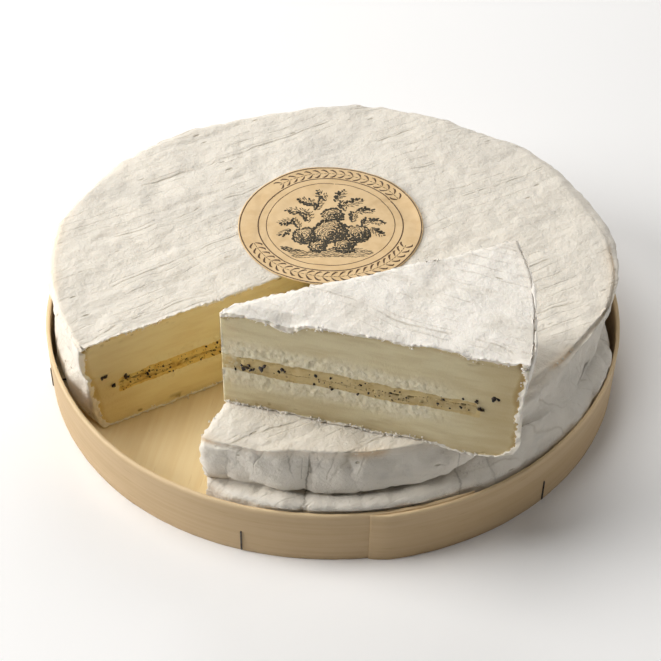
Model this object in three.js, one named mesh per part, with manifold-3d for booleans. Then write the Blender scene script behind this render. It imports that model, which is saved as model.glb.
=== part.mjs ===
// A soft white-rind cheese in its shallow wooden box. A layer of truffle paste runs through the
// middle of the cheese. One slice is cut out and rests on top, so both cut faces show the layer.
//
// Millimetres, +Z up. The origin is the centre of the box's underside, on the table.

import * as THREE from 'three';
import { mergeVertices } from 'three/addons/utils/BufferGeometryUtils.js';
import Module from 'manifold-3d';

const wasm = await Module();
wasm.setup();

// ---- Driving dimensions ----------------------------------------------------------------

// Box: a veneer hoop, lapped on itself, round a thin wooden base.
const boxRadius = 103;          // outside of the hoop
const hoopHeight = 22;
const veneer = 1.3;             // thickness of the hoop's strip
const lapLength = 36;           // how far the strip's outer end passes over its inner end
const lapAngle = -63;           // direction of the strip's hidden inner end, in degrees
const lapRun = 95;              // length over which the strip steps out on to its own end
const scarfLength = 7;          // taper at each end of the strip
const scarfEdge = 0.4;          // thickness left at the tapered ends
const baseThickness = 2;

// Staples: wire bent over the bottom corner of the box, both ends clinched inside.
const stapleCount = 6;
const firstStaple = -46.5;      // direction of the first staple, in degrees
const wire = 0.65;              // wire diameter
const stapleRise = 9.6;         // height of the leg that goes through the hoop
const stapleReach = 5.2;        // length of wire under the base
const clinch = 2.6;             // length of each clinched end
const wireSink = 0.5;           // how deep the wire is pressed into the hoop
const bendRadius = 0.7;
const standOff = 0.15;          // from a clinched end to the clearance over the wood beside it

// Cheese: a flat round with a soft shoulder, and a waist where the side has sagged.
const sideGap = 3.7;            // from the hoop's inside to the cheese, all round
const cheeseThickness = 40.7;
const shoulder = 5;             // how far in the top edge starts to round over
const footInset = 8;            // how far in the bottom edge starts to round under
const waistHeight = 19;
const wheelWaist = 4.5;         // depth of the waist in the round's side
const sliceWaist = 0.9;         // the same on the slice, which stands free and has swelled back
const sliceStart = -150;        // direction of the first cut, in degrees
const sliceAngle = 35;
const sliceShrink = 3;          // how much shorter the slice is than the round's radius
const sliceOverlap = 18.5;      // from the round's edge in to the tip of the resting slice
const sliceTipAngle = -115.9;   // where on the round the slice's tip lies
const sliceTurn = -14.4;        // direction of the resting slice's near face

// Truffle layer: a disc of flavoured paste that stops short of the rind.
const layerHeight = 14.3;       // from the cheese's underside to the layer
const layerThickness = 6.5;
const layerMargin = 13.5;       // from the cheese's side to the layer's edge

// Label: a paper disc on the top rind.
const labelRadius = 33.4;
const labelThickness = 0.3;
const labelCentre = new THREE.Vector2(-1.3, 17.1);

// Clearance between pieces that touch, and fineness of the curves.
const fitGap = 0.3;
const roundSteps = 72;
const wireSides = 6;

// ---- Sizes that follow from them ---------------------------------------------------------

const degrees = Math.PI / 180;
const lapSpan = lapLength / boxRadius / degrees;
const runSpan = lapRun / boxRadius / degrees;
const scarfSpan = scarfLength / boxRadius / degrees;
const wheelRadius = boxRadius - veneer - sideGap;
const wheelBottom = baseThickness + fitGap;
const wheelTop = wheelBottom + cheeseThickness;
const sliceRadius = wheelRadius - sliceShrink;
const sliceBottom = wheelTop + fitGap;
const sliceTip = polar(wheelRadius - sliceOverlap, sliceTipAngle);

// ---- Materials ---------------------------------------------------------------------------

const rind = new THREE.MeshStandardMaterial({ color: 0xece4d6, roughness: 0.9, metalness: 0 });
const trufflePaste = new THREE.MeshStandardMaterial({ color: 0xc9a862, roughness: 0.7, metalness: 0 });
const wood = new THREE.MeshStandardMaterial({ color: 0xd2b48a, roughness: 0.7, metalness: 0 });
const paper = new THREE.MeshStandardMaterial({ color: 0xe0c394, roughness: 0.85, metalness: 0 });
const steelWire = new THREE.MeshStandardMaterial({ color: 0x4a4744, roughness: 0.45, metalness: 1 });

// ---- Helpers -----------------------------------------------------------------------------

function polar(radius, angle) {
  return new THREE.Vector2(radius * Math.cos(angle * degrees), radius * Math.sin(angle * degrees));
}

// Turns a three.js geometry into a solid, with shared corners joined and faces pointing out.
function toSolid(geometry) {
  const bare = geometry.clone();
  bare.deleteAttribute('normal');
  bare.deleteAttribute('uv');
  const joined = mergeVertices(bare, 1e-4);
  const corners = joined.getIndex().array;
  const triangles = [];
  for (let i = 0; i < corners.length; i += 3) {
    const [a, b, c] = [corners[i], corners[i + 1], corners[i + 2]];
    if (a !== b && b !== c && c !== a) {
      triangles.push(a, b, c);
    }
  }
  const points = joined.getAttribute('position').array;
  if (signedVolume(points, triangles) < 0) {
    triangles.reverse();
  }
  return new wasm.Manifold(new wasm.Mesh({
    numProp: 3,
    vertProperties: Float32Array.from(points),
    triVerts: Uint32Array.from(triangles),
  }));
}

function signedVolume(points, triangles) {
  let volume = 0;
  const [a, b, c] = [new THREE.Vector3(), new THREE.Vector3(), new THREE.Vector3()];
  for (let i = 0; i < triangles.length; i += 3) {
    a.fromArray(points, triangles[i] * 3);
    b.fromArray(points, triangles[i + 1] * 3);
    c.fromArray(points, triangles[i + 2] * 3);
    volume += a.dot(b.cross(c)) / 6;
  }
  return volume;
}

function toMesh(name, solid, material) {
  const data = solid.getMesh();
  const geometry = new THREE.BufferGeometry();
  geometry.setAttribute('position', new THREE.Float32BufferAttribute(data.vertProperties, 3));
  geometry.setIndex(new THREE.Uint32BufferAttribute(data.triVerts, 1));
  geometry.computeVertexNormals();
  const mesh = new THREE.Mesh(geometry, material);
  mesh.name = name;
  return mesh;
}

// An upright prism on a flat outline, from one height to another.
function prism(outline, bottom, top) {
  const geometry = new THREE.ExtrudeGeometry(new THREE.Shape(outline), {
    depth: top - bottom,
    bevelEnabled: false,
    steps: 1,
  });
  geometry.translate(0, 0, bottom);
  return toSolid(geometry);
}

// A round turned about the vertical axis from points given as (radius, height).
function turned(profile) {
  const geometry = new THREE.LatheGeometry(profile, roundSteps);
  geometry.rotateX(Math.PI / 2);
  return toSolid(geometry);
}

function disc(radius, bottom, top) {
  return turned([
    new THREE.Vector2(0, bottom),
    new THREE.Vector2(radius, bottom),
    new THREE.Vector2(radius, top),
    new THREE.Vector2(0, top),
  ]);
}

// ---- Hoop and base -----------------------------------------------------------------------

// How far round the strip a direction is, in degrees from the strip's inner end, clockwise.
function alongStrip(angle) {
  return ((lapAngle - angle) % 360 + 360) % 360;
}

// The strip lies one thickness further in at its inner end, so that its outer end can pass over.
function stripInside(travel) {
  const step = THREE.MathUtils.smoothstep(travel, lapSpan, lapSpan + runSpan);
  return boxRadius - veneer - (veneer + fitGap) * (1 - step);
}

function taper(distance) {
  return (veneer - scarfEdge) * (1 - Math.min(1, Math.max(0, distance / scarfSpan)));
}

// The inside face of the hoop, as the base and the staples meet it.
function hoopInside(angle) {
  const travel = alongStrip(angle);
  return stripInside(travel) + taper(travel);
}

function hoopOutside(angle) {
  return stripInside(alongStrip(angle)) + veneer;
}

function hoopStrip() {
  const travelEnd = 360 + lapSpan;
  const steps = Math.round(travelEnd / 3);
  const inner = [];
  const outer = [];
  for (let i = 0; i <= steps; i += 1) {
    const travel = travelEnd * i / steps;
    const angle = lapAngle - travel;
    inner.push(polar(stripInside(travel) + taper(travel), angle));
    outer.push(polar(stripInside(travel) + veneer - taper(travelEnd - travel), angle));
  }
  return prism([...inner, ...outer.reverse()], 0, hoopHeight);
}

function baseBoard() {
  const outline = [];
  for (let i = 0; i < 120; i += 1) {
    const angle = lapAngle - i * 3;
    outline.push(polar(hoopInside(angle) - fitGap, angle));
  }
  return prism(outline, 0, baseThickness);
}

// ---- Staples -----------------------------------------------------------------------------

// A wire of round section along straight runs, with each corner rounded by a short curve.
function bentWire(corners, radius) {
  const path = new THREE.CurvePath();
  let from = corners[0];
  for (let i = 1; i < corners.length - 1; i += 1) {
    const before = corners[i].clone().sub(corners[i - 1]).setLength(bendRadius);
    const after = corners[i + 1].clone().sub(corners[i]).setLength(bendRadius);
    const bendStart = corners[i].clone().sub(before);
    const bendEnd = corners[i].clone().add(after);
    path.add(new THREE.LineCurve3(from, bendStart));
    path.add(new THREE.QuadraticBezierCurve3(bendStart, corners[i], bendEnd));
    from = bendEnd;
  }
  path.add(new THREE.LineCurve3(from, corners[corners.length - 1]));
  const section = new THREE.Shape();
  for (let i = 0; i < wireSides; i += 1) {
    const point = polar(radius, i * 360 / wireSides);
    if (i === 0) {
      section.moveTo(point.x, point.y);
    } else {
      section.lineTo(point.x, point.y);
    }
  }
  return toSolid(new THREE.ExtrudeGeometry(section, {
    steps: 40,
    bevelEnabled: false,
    extrudePath: path,
  }));
}

// The wire's centre line at one direction: inside the hoop, out through it, down the outside,
// under the base, up through the base and along its top. Nothing reaches below the table.
function stapleCorners(angle, spare) {
  const half = wire / 2;
  const inside = hoopInside(angle) - fitGap - standOff - half;
  const outside = hoopOutside(angle) - wireSink + fitGap + half;
  const throughBase = outside - stapleReach;
  const onBase = baseThickness + fitGap + standOff + half;
  const runs = [
    [inside, stapleRise - clinch - spare],
    [inside, stapleRise],
    [outside, stapleRise],
    [outside, half],
    [throughBase, half],
    [throughBase, onBase],
    [throughBase + clinch + spare, onBase],
  ];
  return runs.map(([radius, height]) => {
    const place = polar(radius, angle);
    return new THREE.Vector3(place.x, place.y, height);
  });
}

// ---- Cheese ------------------------------------------------------------------------------

// Half of the cheese's outline: a flat bottom, a bulging lower tier, a waist, a fuller upper
// tier and a soft shoulder up to the flat top.
function cheeseRound(radius, bottom, waist) {
  const top = bottom + cheeseThickness;
  const lower = bottom + waistHeight / 2;
  const upper = (bottom + waistHeight + top) / 2;
  const outline = new THREE.Path();
  outline.moveTo(0, bottom);
  outline.lineTo(radius - footInset, bottom);
  outline.quadraticCurveTo(radius - waist / 4, bottom, radius - waist / 4, lower);
  outline.quadraticCurveTo(radius - waist / 2, bottom + waistHeight, radius - waist, bottom + waistHeight);
  outline.quadraticCurveTo(radius - waist / 4, bottom + waistHeight + 2, radius - waist / 8, upper);
  outline.quadraticCurveTo(radius, top, radius - shoulder, top);
  outline.lineTo(0, top);
  return turned(outline.getPoints(4));
}

// The sector between two directions, tall enough to pass right through the cheese.
function sector(startAngle, angle, apex) {
  const reach = boxRadius * 2;
  const outline = [
    apex,
    polar(reach, startAngle).add(apex),
    polar(reach, startAngle + angle / 2).add(apex),
    polar(reach, startAngle + angle).add(apex),
  ];
  return prism(outline, -cheeseThickness, sliceBottom + cheeseThickness * 2);
}

function truffleDisc(radius, bottom, spare) {
  const layerBottom = bottom + layerHeight;
  return disc(radius - layerMargin + spare, layerBottom - spare, layerBottom + layerThickness + spare);
}

// ---- Assembly ----------------------------------------------------------------------------

const group = new THREE.Group();

const centre = new THREE.Vector2(0, 0);
const gap = sector(sliceStart, sliceAngle, centre);

const wheel = cheeseRound(wheelRadius, wheelBottom, wheelWaist)
  .subtract(gap)
  .subtract(truffleDisc(wheelRadius, wheelBottom, fitGap));
group.add(toMesh('wheel_cheese', wheel, rind));

const wheelLayer = truffleDisc(wheelRadius, wheelBottom, 0).subtract(gap);
group.add(toMesh('wheel_truffle_layer', wheelLayer, trufflePaste));

// The slice is cut where it rests: its tip is the axis of its own round.
const resting = sector(sliceTurn, sliceAngle, centre);
const slice = cheeseRound(sliceRadius, sliceBottom, sliceWaist)
  .intersect(resting)
  .subtract(truffleDisc(sliceRadius, sliceBottom, fitGap));
const sliceMesh = toMesh('slice_cheese', slice, rind);
const sliceLayer = truffleDisc(sliceRadius, sliceBottom, 0).intersect(resting);
const sliceLayerMesh = toMesh('slice_truffle_layer', sliceLayer, trufflePaste);
for (const piece of [sliceMesh, sliceLayerMesh]) {
  piece.position.set(sliceTip.x, sliceTip.y, 0);
  group.add(piece);
}

const labelBottom = wheelTop + fitGap;
const label = disc(labelRadius, labelBottom, labelBottom + labelThickness);
const labelMesh = toMesh('label', label, paper);
labelMesh.position.set(labelCentre.x, labelCentre.y, 0);
group.add(labelMesh);

let hoop = hoopStrip();
let base = baseBoard();
for (let i = 0; i < stapleCount; i += 1) {
  const angle = firstStaple + i * 360 / stapleCount;
  const staple = bentWire(stapleCorners(angle, 0), wire / 2);
  const groove = bentWire(stapleCorners(angle, fitGap), wire / 2 + fitGap);
  hoop = hoop.subtract(groove);
  base = base.subtract(groove);
  group.add(toMesh(`staple_${i + 1}`, staple, steelWire));
}
group.add(toMesh('box_hoop', hoop, wood));
group.add(toMesh('box_base', base, wood));

export default group;
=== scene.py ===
# %% [markdown]
# # A boxed round of white-rind cheese, with a slice cut out
#
# The real thing is a soft cheese about 200 mm across in a shallow poplar box. A layer of truffle
# paste runs through its middle. One slice is cut out and rests on top. This notebook builds the
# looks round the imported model: the sizes and places come from the frame, and each cell adds one
# piece or one finish. Lengths are worked in millimetres and turned to metres when a mesh is made.

import math

import bpy
import numpy as np
from mathutils import Matrix, Vector


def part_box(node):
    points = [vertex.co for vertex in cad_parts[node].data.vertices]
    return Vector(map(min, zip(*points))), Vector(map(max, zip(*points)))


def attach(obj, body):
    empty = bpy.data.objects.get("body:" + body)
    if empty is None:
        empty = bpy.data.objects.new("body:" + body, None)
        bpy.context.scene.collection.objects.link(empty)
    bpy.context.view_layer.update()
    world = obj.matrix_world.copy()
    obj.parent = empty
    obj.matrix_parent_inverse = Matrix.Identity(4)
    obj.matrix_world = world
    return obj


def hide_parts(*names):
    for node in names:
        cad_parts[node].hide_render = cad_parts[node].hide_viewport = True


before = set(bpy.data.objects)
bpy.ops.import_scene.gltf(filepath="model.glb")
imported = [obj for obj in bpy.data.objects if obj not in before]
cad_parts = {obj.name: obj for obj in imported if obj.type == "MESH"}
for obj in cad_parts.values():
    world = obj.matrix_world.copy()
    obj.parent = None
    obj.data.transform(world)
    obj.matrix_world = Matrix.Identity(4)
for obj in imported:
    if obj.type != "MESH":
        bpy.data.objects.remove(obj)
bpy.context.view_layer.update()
MM = 0.001


def cad_points(node):
    """The corners of a CAD node, in millimetres."""
    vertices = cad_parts[node].data.vertices
    points = np.empty(len(vertices) * 3)
    vertices.foreach_get("co", points)
    return points.reshape(-1, 3) / MM


def cad_box(node):
    low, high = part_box(node)
    return np.array(low) / MM, np.array(high) / MM


def directions_at_side(node, apex):
    """Directions from the apex to the corners at the node's curved side, in rising order."""
    offset = cad_points(node)[:, :2] - apex
    reach = np.hypot(offset[:, 0], offset[:, 1])
    outer = offset[reach > 0.9 * reach.max()]
    return np.unique(np.round(np.degrees(np.arctan2(outer[:, 1], outer[:, 0])), 2)), reach.max()


WHEEL_LOW, WHEEL_HIGH = cad_box("wheel_cheese")
wheel_directions, WHEEL_RADIUS = directions_at_side("wheel_cheese", np.zeros(2))
widest = int(np.argmax(np.diff(wheel_directions)))
GAP_START, GAP_END = wheel_directions[widest], wheel_directions[widest + 1]

slice_corners = cad_points("slice_cheese")
SLICE_LOW, SLICE_HIGH = cad_box("slice_cheese")
SLICE_TIP = slice_corners[np.argmin(slice_corners[:, 0]), :2]
slice_directions, SLICE_RADIUS = directions_at_side("slice_cheese", SLICE_TIP)
SLICE_START, SLICE_END = slice_directions[0], slice_directions[-1]

LABEL_LOW, LABEL_HIGH = cad_box("label")
HOOP_HIGH = cad_box("box_hoop")[1]
BASE_HIGH = cad_box("box_base")[1]
print("round: radius %.1f, gap %.1f to %.1f" % (WHEEL_RADIUS, GAP_START, GAP_END))
print("slice: tip", SLICE_TIP.round(1), "radius %.1f" % SLICE_RADIUS, SLICE_START, SLICE_END)

# %% [markdown]
# ## Camera and light
#
# The round is seen from the front, well above it, with a long lens. The light is soft and comes
# mostly from the left, low and high, with weaker light from behind and from the right, which leaves
# the front in gentle shade. Small bright lamps would give hard shadows, so every lamp here is a wide
# round panel, and a faint white sky fills in.

# %% Camera
CAMERA_PLACE = Vector((-0.0013, -0.4293, 0.4119))
CAMERA_TILT = math.radians(43.34)
CAMERA_PAN = math.radians(0.06)
CAMERA_ROLL = math.radians(0.77)
CAMERA_LENS = 87.3
CAMERA_SENSOR = 36.0

forward = Vector((math.sin(CAMERA_PAN) * math.cos(CAMERA_TILT),
                  math.cos(CAMERA_PAN) * math.cos(CAMERA_TILT), -math.sin(CAMERA_TILT)))
level = Vector((math.cos(CAMERA_PAN), -math.sin(CAMERA_PAN), 0.0))
upright = level.cross(forward)
right = math.cos(CAMERA_ROLL) * level + math.sin(CAMERA_ROLL) * upright
up = -math.sin(CAMERA_ROLL) * level + math.cos(CAMERA_ROLL) * upright

camera_data = bpy.data.cameras.new("camera")
camera_data.lens = CAMERA_LENS
camera_data.sensor_width = CAMERA_SENSOR
camera_data.clip_start = 0.01
camera = bpy.data.objects.new("camera", camera_data)
bpy.context.scene.collection.objects.link(camera)
camera.matrix_world = Matrix((
    (right.x, up.x, -forward.x, CAMERA_PLACE.x),
    (right.y, up.y, -forward.y, CAMERA_PLACE.y),
    (right.z, up.z, -forward.z, CAMERA_PLACE.z),
    (0.0, 0.0, 0.0, 1.0),
))
bpy.context.scene.camera = camera

# %% Lights, sky and table
LAMPS = {
    # name: (direction round the table in degrees, height in degrees, width, power)
    "left_low": (180, 25, 0.8, 13.0),
    "left_high": (170, 72, 0.8, 6.4),
    "back_low": (90, 25, 0.8, 4.8),
    "right_low": (0, 25, 0.8, 2.8),
}
LAMP_DISTANCE = 1.2
LAMP_COLOUR = (1.0, 0.985, 0.965)
LOOK_AT = Vector((0.0, 0.0, 0.03))
SKY = (1.0, 1.0, 1.0)
SKY_STRENGTH = 0.02


def add_lamp(name, turn, height, width, power):
    data = bpy.data.lights.new(name, "AREA")
    data.shape = "DISK"
    data.size = width
    data.energy = power
    data.color = LAMP_COLOUR
    lamp = bpy.data.objects.new(name, data)
    bpy.context.scene.collection.objects.link(lamp)
    turn, height = math.radians(turn), math.radians(height)
    level_part = math.cos(height)
    aim = -Vector((math.cos(turn) * level_part, math.sin(turn) * level_part, math.sin(height)))
    lamp.location = LOOK_AT - aim * LAMP_DISTANCE
    lamp.rotation_euler = aim.to_track_quat("-Z", "Y").to_euler()
    return lamp


for lamp_name, settings in LAMPS.items():
    add_lamp(lamp_name, *settings)

world = bpy.data.worlds.new("sky")
bpy.context.scene.world = world
world.use_nodes = True
world.node_tree.nodes["Background"].inputs["Color"].default_value = (*SKY, 1.0)
world.node_tree.nodes["Background"].inputs["Strength"].default_value = SKY_STRENGTH
bpy.context.scene.view_settings.view_transform = "Standard"
print("lamps:", ", ".join(LAMPS))

# %% [markdown]
# ## Tools for meshes
#
# Most pieces here are grids that have been bent into shape, so one helper turns lists of points and
# faces into an object. Soft food has no straight line in it: a smooth random field, sampled at
# several scales, gives the undulations. It is written out here so that it repeats exactly.

# %% Smooth random fields
def lattice_value(cells, seed):
    """A repeatable random number from -1 to 1 for each whole-number lattice cell."""
    mixed = (cells[..., 0] * 374761393 + cells[..., 1] * 668265263
             + cells[..., 2] * 2147483647 + seed * 144665) & 0xFFFFFFFF
    mixed = ((mixed ^ (mixed >> 13)) * 1274126177) & 0xFFFFFFFF
    mixed = ((mixed ^ (mixed >> 16)) * 2246822519) & 0xFFFFFFFF
    mixed = mixed ^ (mixed >> 15)
    return mixed / 0x7FFFFFFF - 1.0


def field(points, size, seed):
    """Smooth noise from -1 to 1 with features of about the given size."""
    scaled = np.asarray(points, float) / size
    cell = np.floor(scaled).astype(np.int64)
    part = scaled - cell
    part = part * part * part * (part * (part * 6 - 15) + 10)
    total = np.zeros(scaled.shape[:-1])
    for corner in range(8):
        step = np.array([corner & 1, corner >> 1 & 1, corner >> 2])
        weight = np.prod(np.where(step, part, 1 - part), axis=-1)
        total += weight * lattice_value(cell + step, seed)
    return total


def rough_field(points, size, seed, octaves=3):
    """Several fields of halving size and strength, added."""
    total = 0.0
    for octave in range(octaves):
        total = total + field(points, size / 2 ** octave, seed + octave) / 2 ** octave
    return total / (2 - 2 ** (1 - octaves))


def as_points(x, y, z=0.0):
    x, y, z = np.broadcast_arrays(np.asarray(x, float), y, z)
    return np.stack([x, y, z], axis=-1)


def fade(low, high, value):
    """0 below low, 1 above high, with a smooth step between."""
    share = np.clip((value - low) / (high - low), 0, 1)
    return share * share * (3 - 2 * share)


# %% Turn points and faces into an object
def new_object(name, points, faces, materials, face_material=None):
    mesh = bpy.data.meshes.new(name)
    mesh.from_pydata((np.asarray(points) * MM).tolist(), [], faces)
    for material in materials:
        mesh.materials.append(material)
    if face_material is not None:
        mesh.polygons.foreach_set("material_index", face_material)
    mesh.polygons.foreach_set("use_smooth", [True] * len(mesh.polygons))
    mesh.validate()
    mesh.update()
    piece = bpy.data.objects.new(name, mesh)
    bpy.context.scene.collection.objects.link(piece)
    return piece


def mark_points(mesh, name, values):
    """Stores a number on each point of a mesh."""
    attribute = mesh.attributes.new(name, "FLOAT", "POINT")
    attribute.data.foreach_set("value", np.asarray(values, np.float32).ravel())


def polar(radius, degrees):
    angle = np.radians(degrees)
    return radius * np.cos(angle), radius * np.sin(angle)


def finish_piece(piece, node):
    """Hides the CAD node that the piece stands in for, and hangs the piece on the root body."""
    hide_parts(node)
    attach(piece, "root")
    return piece


print("field check: %.4f" % field(np.array([[1.2, 3.4, 5.6]]), 1.0, 7)[0])

# %% [markdown]
# ## Finishes
#
# Four substances show: white mould rind, cheese paste, truffle paste, and poplar wood, with paper
# and wire as small things. Each finish mixes a few soft patterns. What more than one finish needs,
# such as patches, specks and streaks, is a shader group with its own inputs, so a finish is a short
# list of values. All patterns read object coordinates, in metres, or a mask or map stored on the
# mesh.

# %% Shader helpers
def linear(colour):
    """Screen colour, 0 to 255, as the linear values that shaders take."""
    share = np.array(colour) / 255.0
    value = np.where(share <= 0.04045, share / 12.92, ((share + 0.055) / 1.055) ** 2.4)
    return (*value.tolist(), 1.0)


def colours(*screen):
    return [linear(colour) for colour in screen]


def new_group(name, inputs, outputs):
    group = bpy.data.node_groups.new(name, "ShaderNodeTree")
    for socket_name, kind, value in inputs:
        socket = group.interface.new_socket(socket_name, in_out="INPUT", socket_type=kind)
        if value is not None:
            socket.default_value = value
    for socket_name, kind in outputs:
        group.interface.new_socket(socket_name, in_out="OUTPUT", socket_type=kind)
    start = group.nodes.new("NodeGroupInput")
    end = group.nodes.new("NodeGroupOutput")
    return group, start.outputs, end.inputs


def math_node(tree, operation, first, second=None, third=None, clamp=False):
    node = tree.nodes.new("ShaderNodeMath")
    node.operation = operation
    node.use_clamp = clamp
    for socket, value in zip(node.inputs, (first, second, third)):
        put(tree, socket, value)
    return node.outputs[0]


def put(tree, socket, value):
    """Sets a socket to a value, or links it if the value is another socket."""
    if value is None:
        return
    if isinstance(value, bpy.types.NodeSocket):
        tree.links.new(value, socket)
    else:
        socket.default_value = value


def noise_node(tree, place, scale, detail=2.0, roughness=0.5):
    node = tree.nodes.new("ShaderNodeTexNoise")
    put(tree, node.inputs["Vector"], place)
    put(tree, node.inputs["Scale"], scale)
    node.inputs["Detail"].default_value = detail
    node.inputs["Roughness"].default_value = roughness
    return node.outputs["Fac"]


def stretch_node(tree, place, scale):
    """Multiplies a place by a factor for each axis, to stretch the pattern that follows."""
    node = tree.nodes.new("ShaderNodeVectorMath")
    node.operation = "MULTIPLY"
    put(tree, node.inputs[0], place)
    put(tree, node.inputs[1], scale)
    return node.outputs[0]


def turn_node(tree, place, turn):
    """Turns a place about the upright axis, so that the pattern that follows lies at an angle."""
    node = tree.nodes.new("ShaderNodeMapping")
    node.inputs["Rotation"].default_value = (0.0, 0.0, turn)
    put(tree, node.inputs["Vector"], place)
    return node.outputs["Vector"]


def range_node(tree, value, low, high, to_low=0.0, to_high=1.0):
    node = tree.nodes.new("ShaderNodeMapRange")
    node.interpolation_type = "SMOOTHSTEP"
    for name, setting in (("Value", value), ("From Min", low), ("From Max", high),
                          ("To Min", to_low), ("To Max", to_high)):
        put(tree, node.inputs[name], setting)
    return node.outputs["Result"]


def mix_node(tree, share, first, second):
    """Mixes two colours; the node keeps a set of sockets for each data type, colours at 6 and 7."""
    node = tree.nodes.new("ShaderNodeMix")
    node.data_type = "RGBA"
    put(tree, node.inputs[0], share)
    put(tree, node.inputs[6], first)
    put(tree, node.inputs[7], second)
    return node.outputs[2]


def bump_node(tree, height, distance, normal=None, strength=1.0):
    node = tree.nodes.new("ShaderNodeBump")
    node.inputs["Distance"].default_value = distance
    node.inputs["Strength"].default_value = strength
    put(tree, node.inputs["Height"], height)
    put(tree, node.inputs["Normal"], normal)
    return node.outputs["Normal"]


def attribute_node(tree, name):
    node = tree.nodes.new("ShaderNodeAttribute")
    node.attribute_name = name
    return node.outputs["Fac"]


def group_node(tree, group, **settings):
    node = tree.nodes.new("ShaderNodeGroup")
    node.node_tree = group
    for name, value in settings.items():
        put(tree, node.inputs[name.replace("_", " ")], value)
    return node.outputs


def new_finish(name, roughness, **settings):
    """A material with one Principled shader, its place in object coordinates, and constants set."""
    material = bpy.data.materials.new(name)
    material.use_nodes = True
    tree = material.node_tree
    shader = tree.nodes["Principled BSDF"]
    shader.inputs["Roughness"].default_value = roughness
    for socket, value in settings.items():
        shader.inputs[socket.replace("_", " ")].default_value = value
    place = tree.nodes.new("ShaderNodeTexCoord").outputs["Object"]
    return material, tree, shader, place


# %% Group: soft patches between two colours
patches, get, give = new_group(
    "soft_patches",
    [("Place", "NodeSocketVector", None), ("Size", "NodeSocketFloat", 100.0),
     ("Low", "NodeSocketFloat", 0.4), ("High", "NodeSocketFloat", 0.6),
     ("First", "NodeSocketColor", None), ("Second", "NodeSocketColor", None)],
    [("Color", "NodeSocketColor")])
mask = range_node(patches, noise_node(patches, get["Place"], get["Size"], 3.0, 0.55),
                  get["Low"], get["High"])
put(patches, give["Color"], mix_node(patches, mask, get["First"], get["Second"]))

# %% Group: small marks, such as specks and dashes
marks, get, give = new_group(
    "small_marks",
    [("Place", "NodeSocketVector", None), ("Scale", "NodeSocketFloat", 200.0),
     ("Stretch", "NodeSocketVector", (1.0, 1.0, 1.0)), ("Reach", "NodeSocketFloat", 0.2),
     ("Rarity", "NodeSocketFloat", 0.6)],
    [("Mask", "NodeSocketFloat")])
cells = marks.nodes.new("ShaderNodeTexVoronoi")
put(marks, cells.inputs["Vector"], stretch_node(marks, get["Place"], get["Stretch"]))
put(marks, cells.inputs["Scale"], get["Scale"])
cells.inputs["Randomness"].default_value = 1.0
near = math_node(marks, "DIVIDE", cells.outputs["Distance"], get["Reach"])
near = math_node(marks, "SUBTRACT", 1.0, near)
picker = marks.nodes.new("ShaderNodeSeparateColor")
put(marks, picker.inputs[0], cells.outputs["Color"])
chosen = math_node(marks, "GREATER_THAN", picker.outputs[0], get["Rarity"])
put(marks, give["Mask"], math_node(marks, "MULTIPLY", range_node(marks, near, 0.0, 0.6), chosen))

# %% Group: thin wandering lines, as where a mat pressed
lines_group, get, give = new_group(
    "pressed_lines",
    [("Place", "NodeSocketVector", None), ("Lines per Metre", "NodeSocketFloat", 50.0),
     ("Width", "NodeSocketFloat", 0.03), ("Wander", "NodeSocketFloat", 0.01)],
    [("Mask", "NodeSocketFloat")])
split = lines_group.nodes.new("ShaderNodeSeparateXYZ")
put(lines_group, split.inputs[0], get["Place"])
waves = noise_node(lines_group, get["Place"], 28.0, 3.0, 0.55)
wandering = math_node(lines_group, "MULTIPLY_ADD", waves, get["Wander"], split.outputs["Y"])
phase = math_node(lines_group, "MULTIPLY", wandering, get["Lines per Metre"])
phase = math_node(lines_group, "FRACT", phase)
away = math_node(lines_group, "ABSOLUTE", math_node(lines_group, "SUBTRACT", phase, 0.5))
thin = math_node(lines_group, "DIVIDE", away, get["Width"])
thin = math_node(lines_group, "SUBTRACT", 1.0, thin, clamp=True)
broken = range_node(lines_group, noise_node(lines_group, get["Place"], 60.0, 4.0, 0.65), 0.44, 0.62)
put(lines_group, give["Mask"], math_node(lines_group, "MULTIPLY", thin, broken))
print("shader groups:", [group.name for group in bpy.data.node_groups])

# %% [markdown]
# ## White mould rind
#
# The rind is a felt of mould a millimetre thick: chalk white, matt, with grey where it is bruised
# and buff where it is thin; the same grey is painted into the creases and along the fold between
# the tiers as shade. Its relief at the scale of the hand is in the mesh. What is left for the finish
# is the felt's own grain, faint stains, thin pressed lines and painted shade down the middle of the
# creases, so three sizes of bump are enough.

# %% Rind finish
LINE_COLOUR = linear((168, 155, 130))
# grey of the painted shade down the creases
CREASE_SHADE_COLOUR = linear((134, 124, 106))
BUFF = (232, 208, 174)


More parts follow.
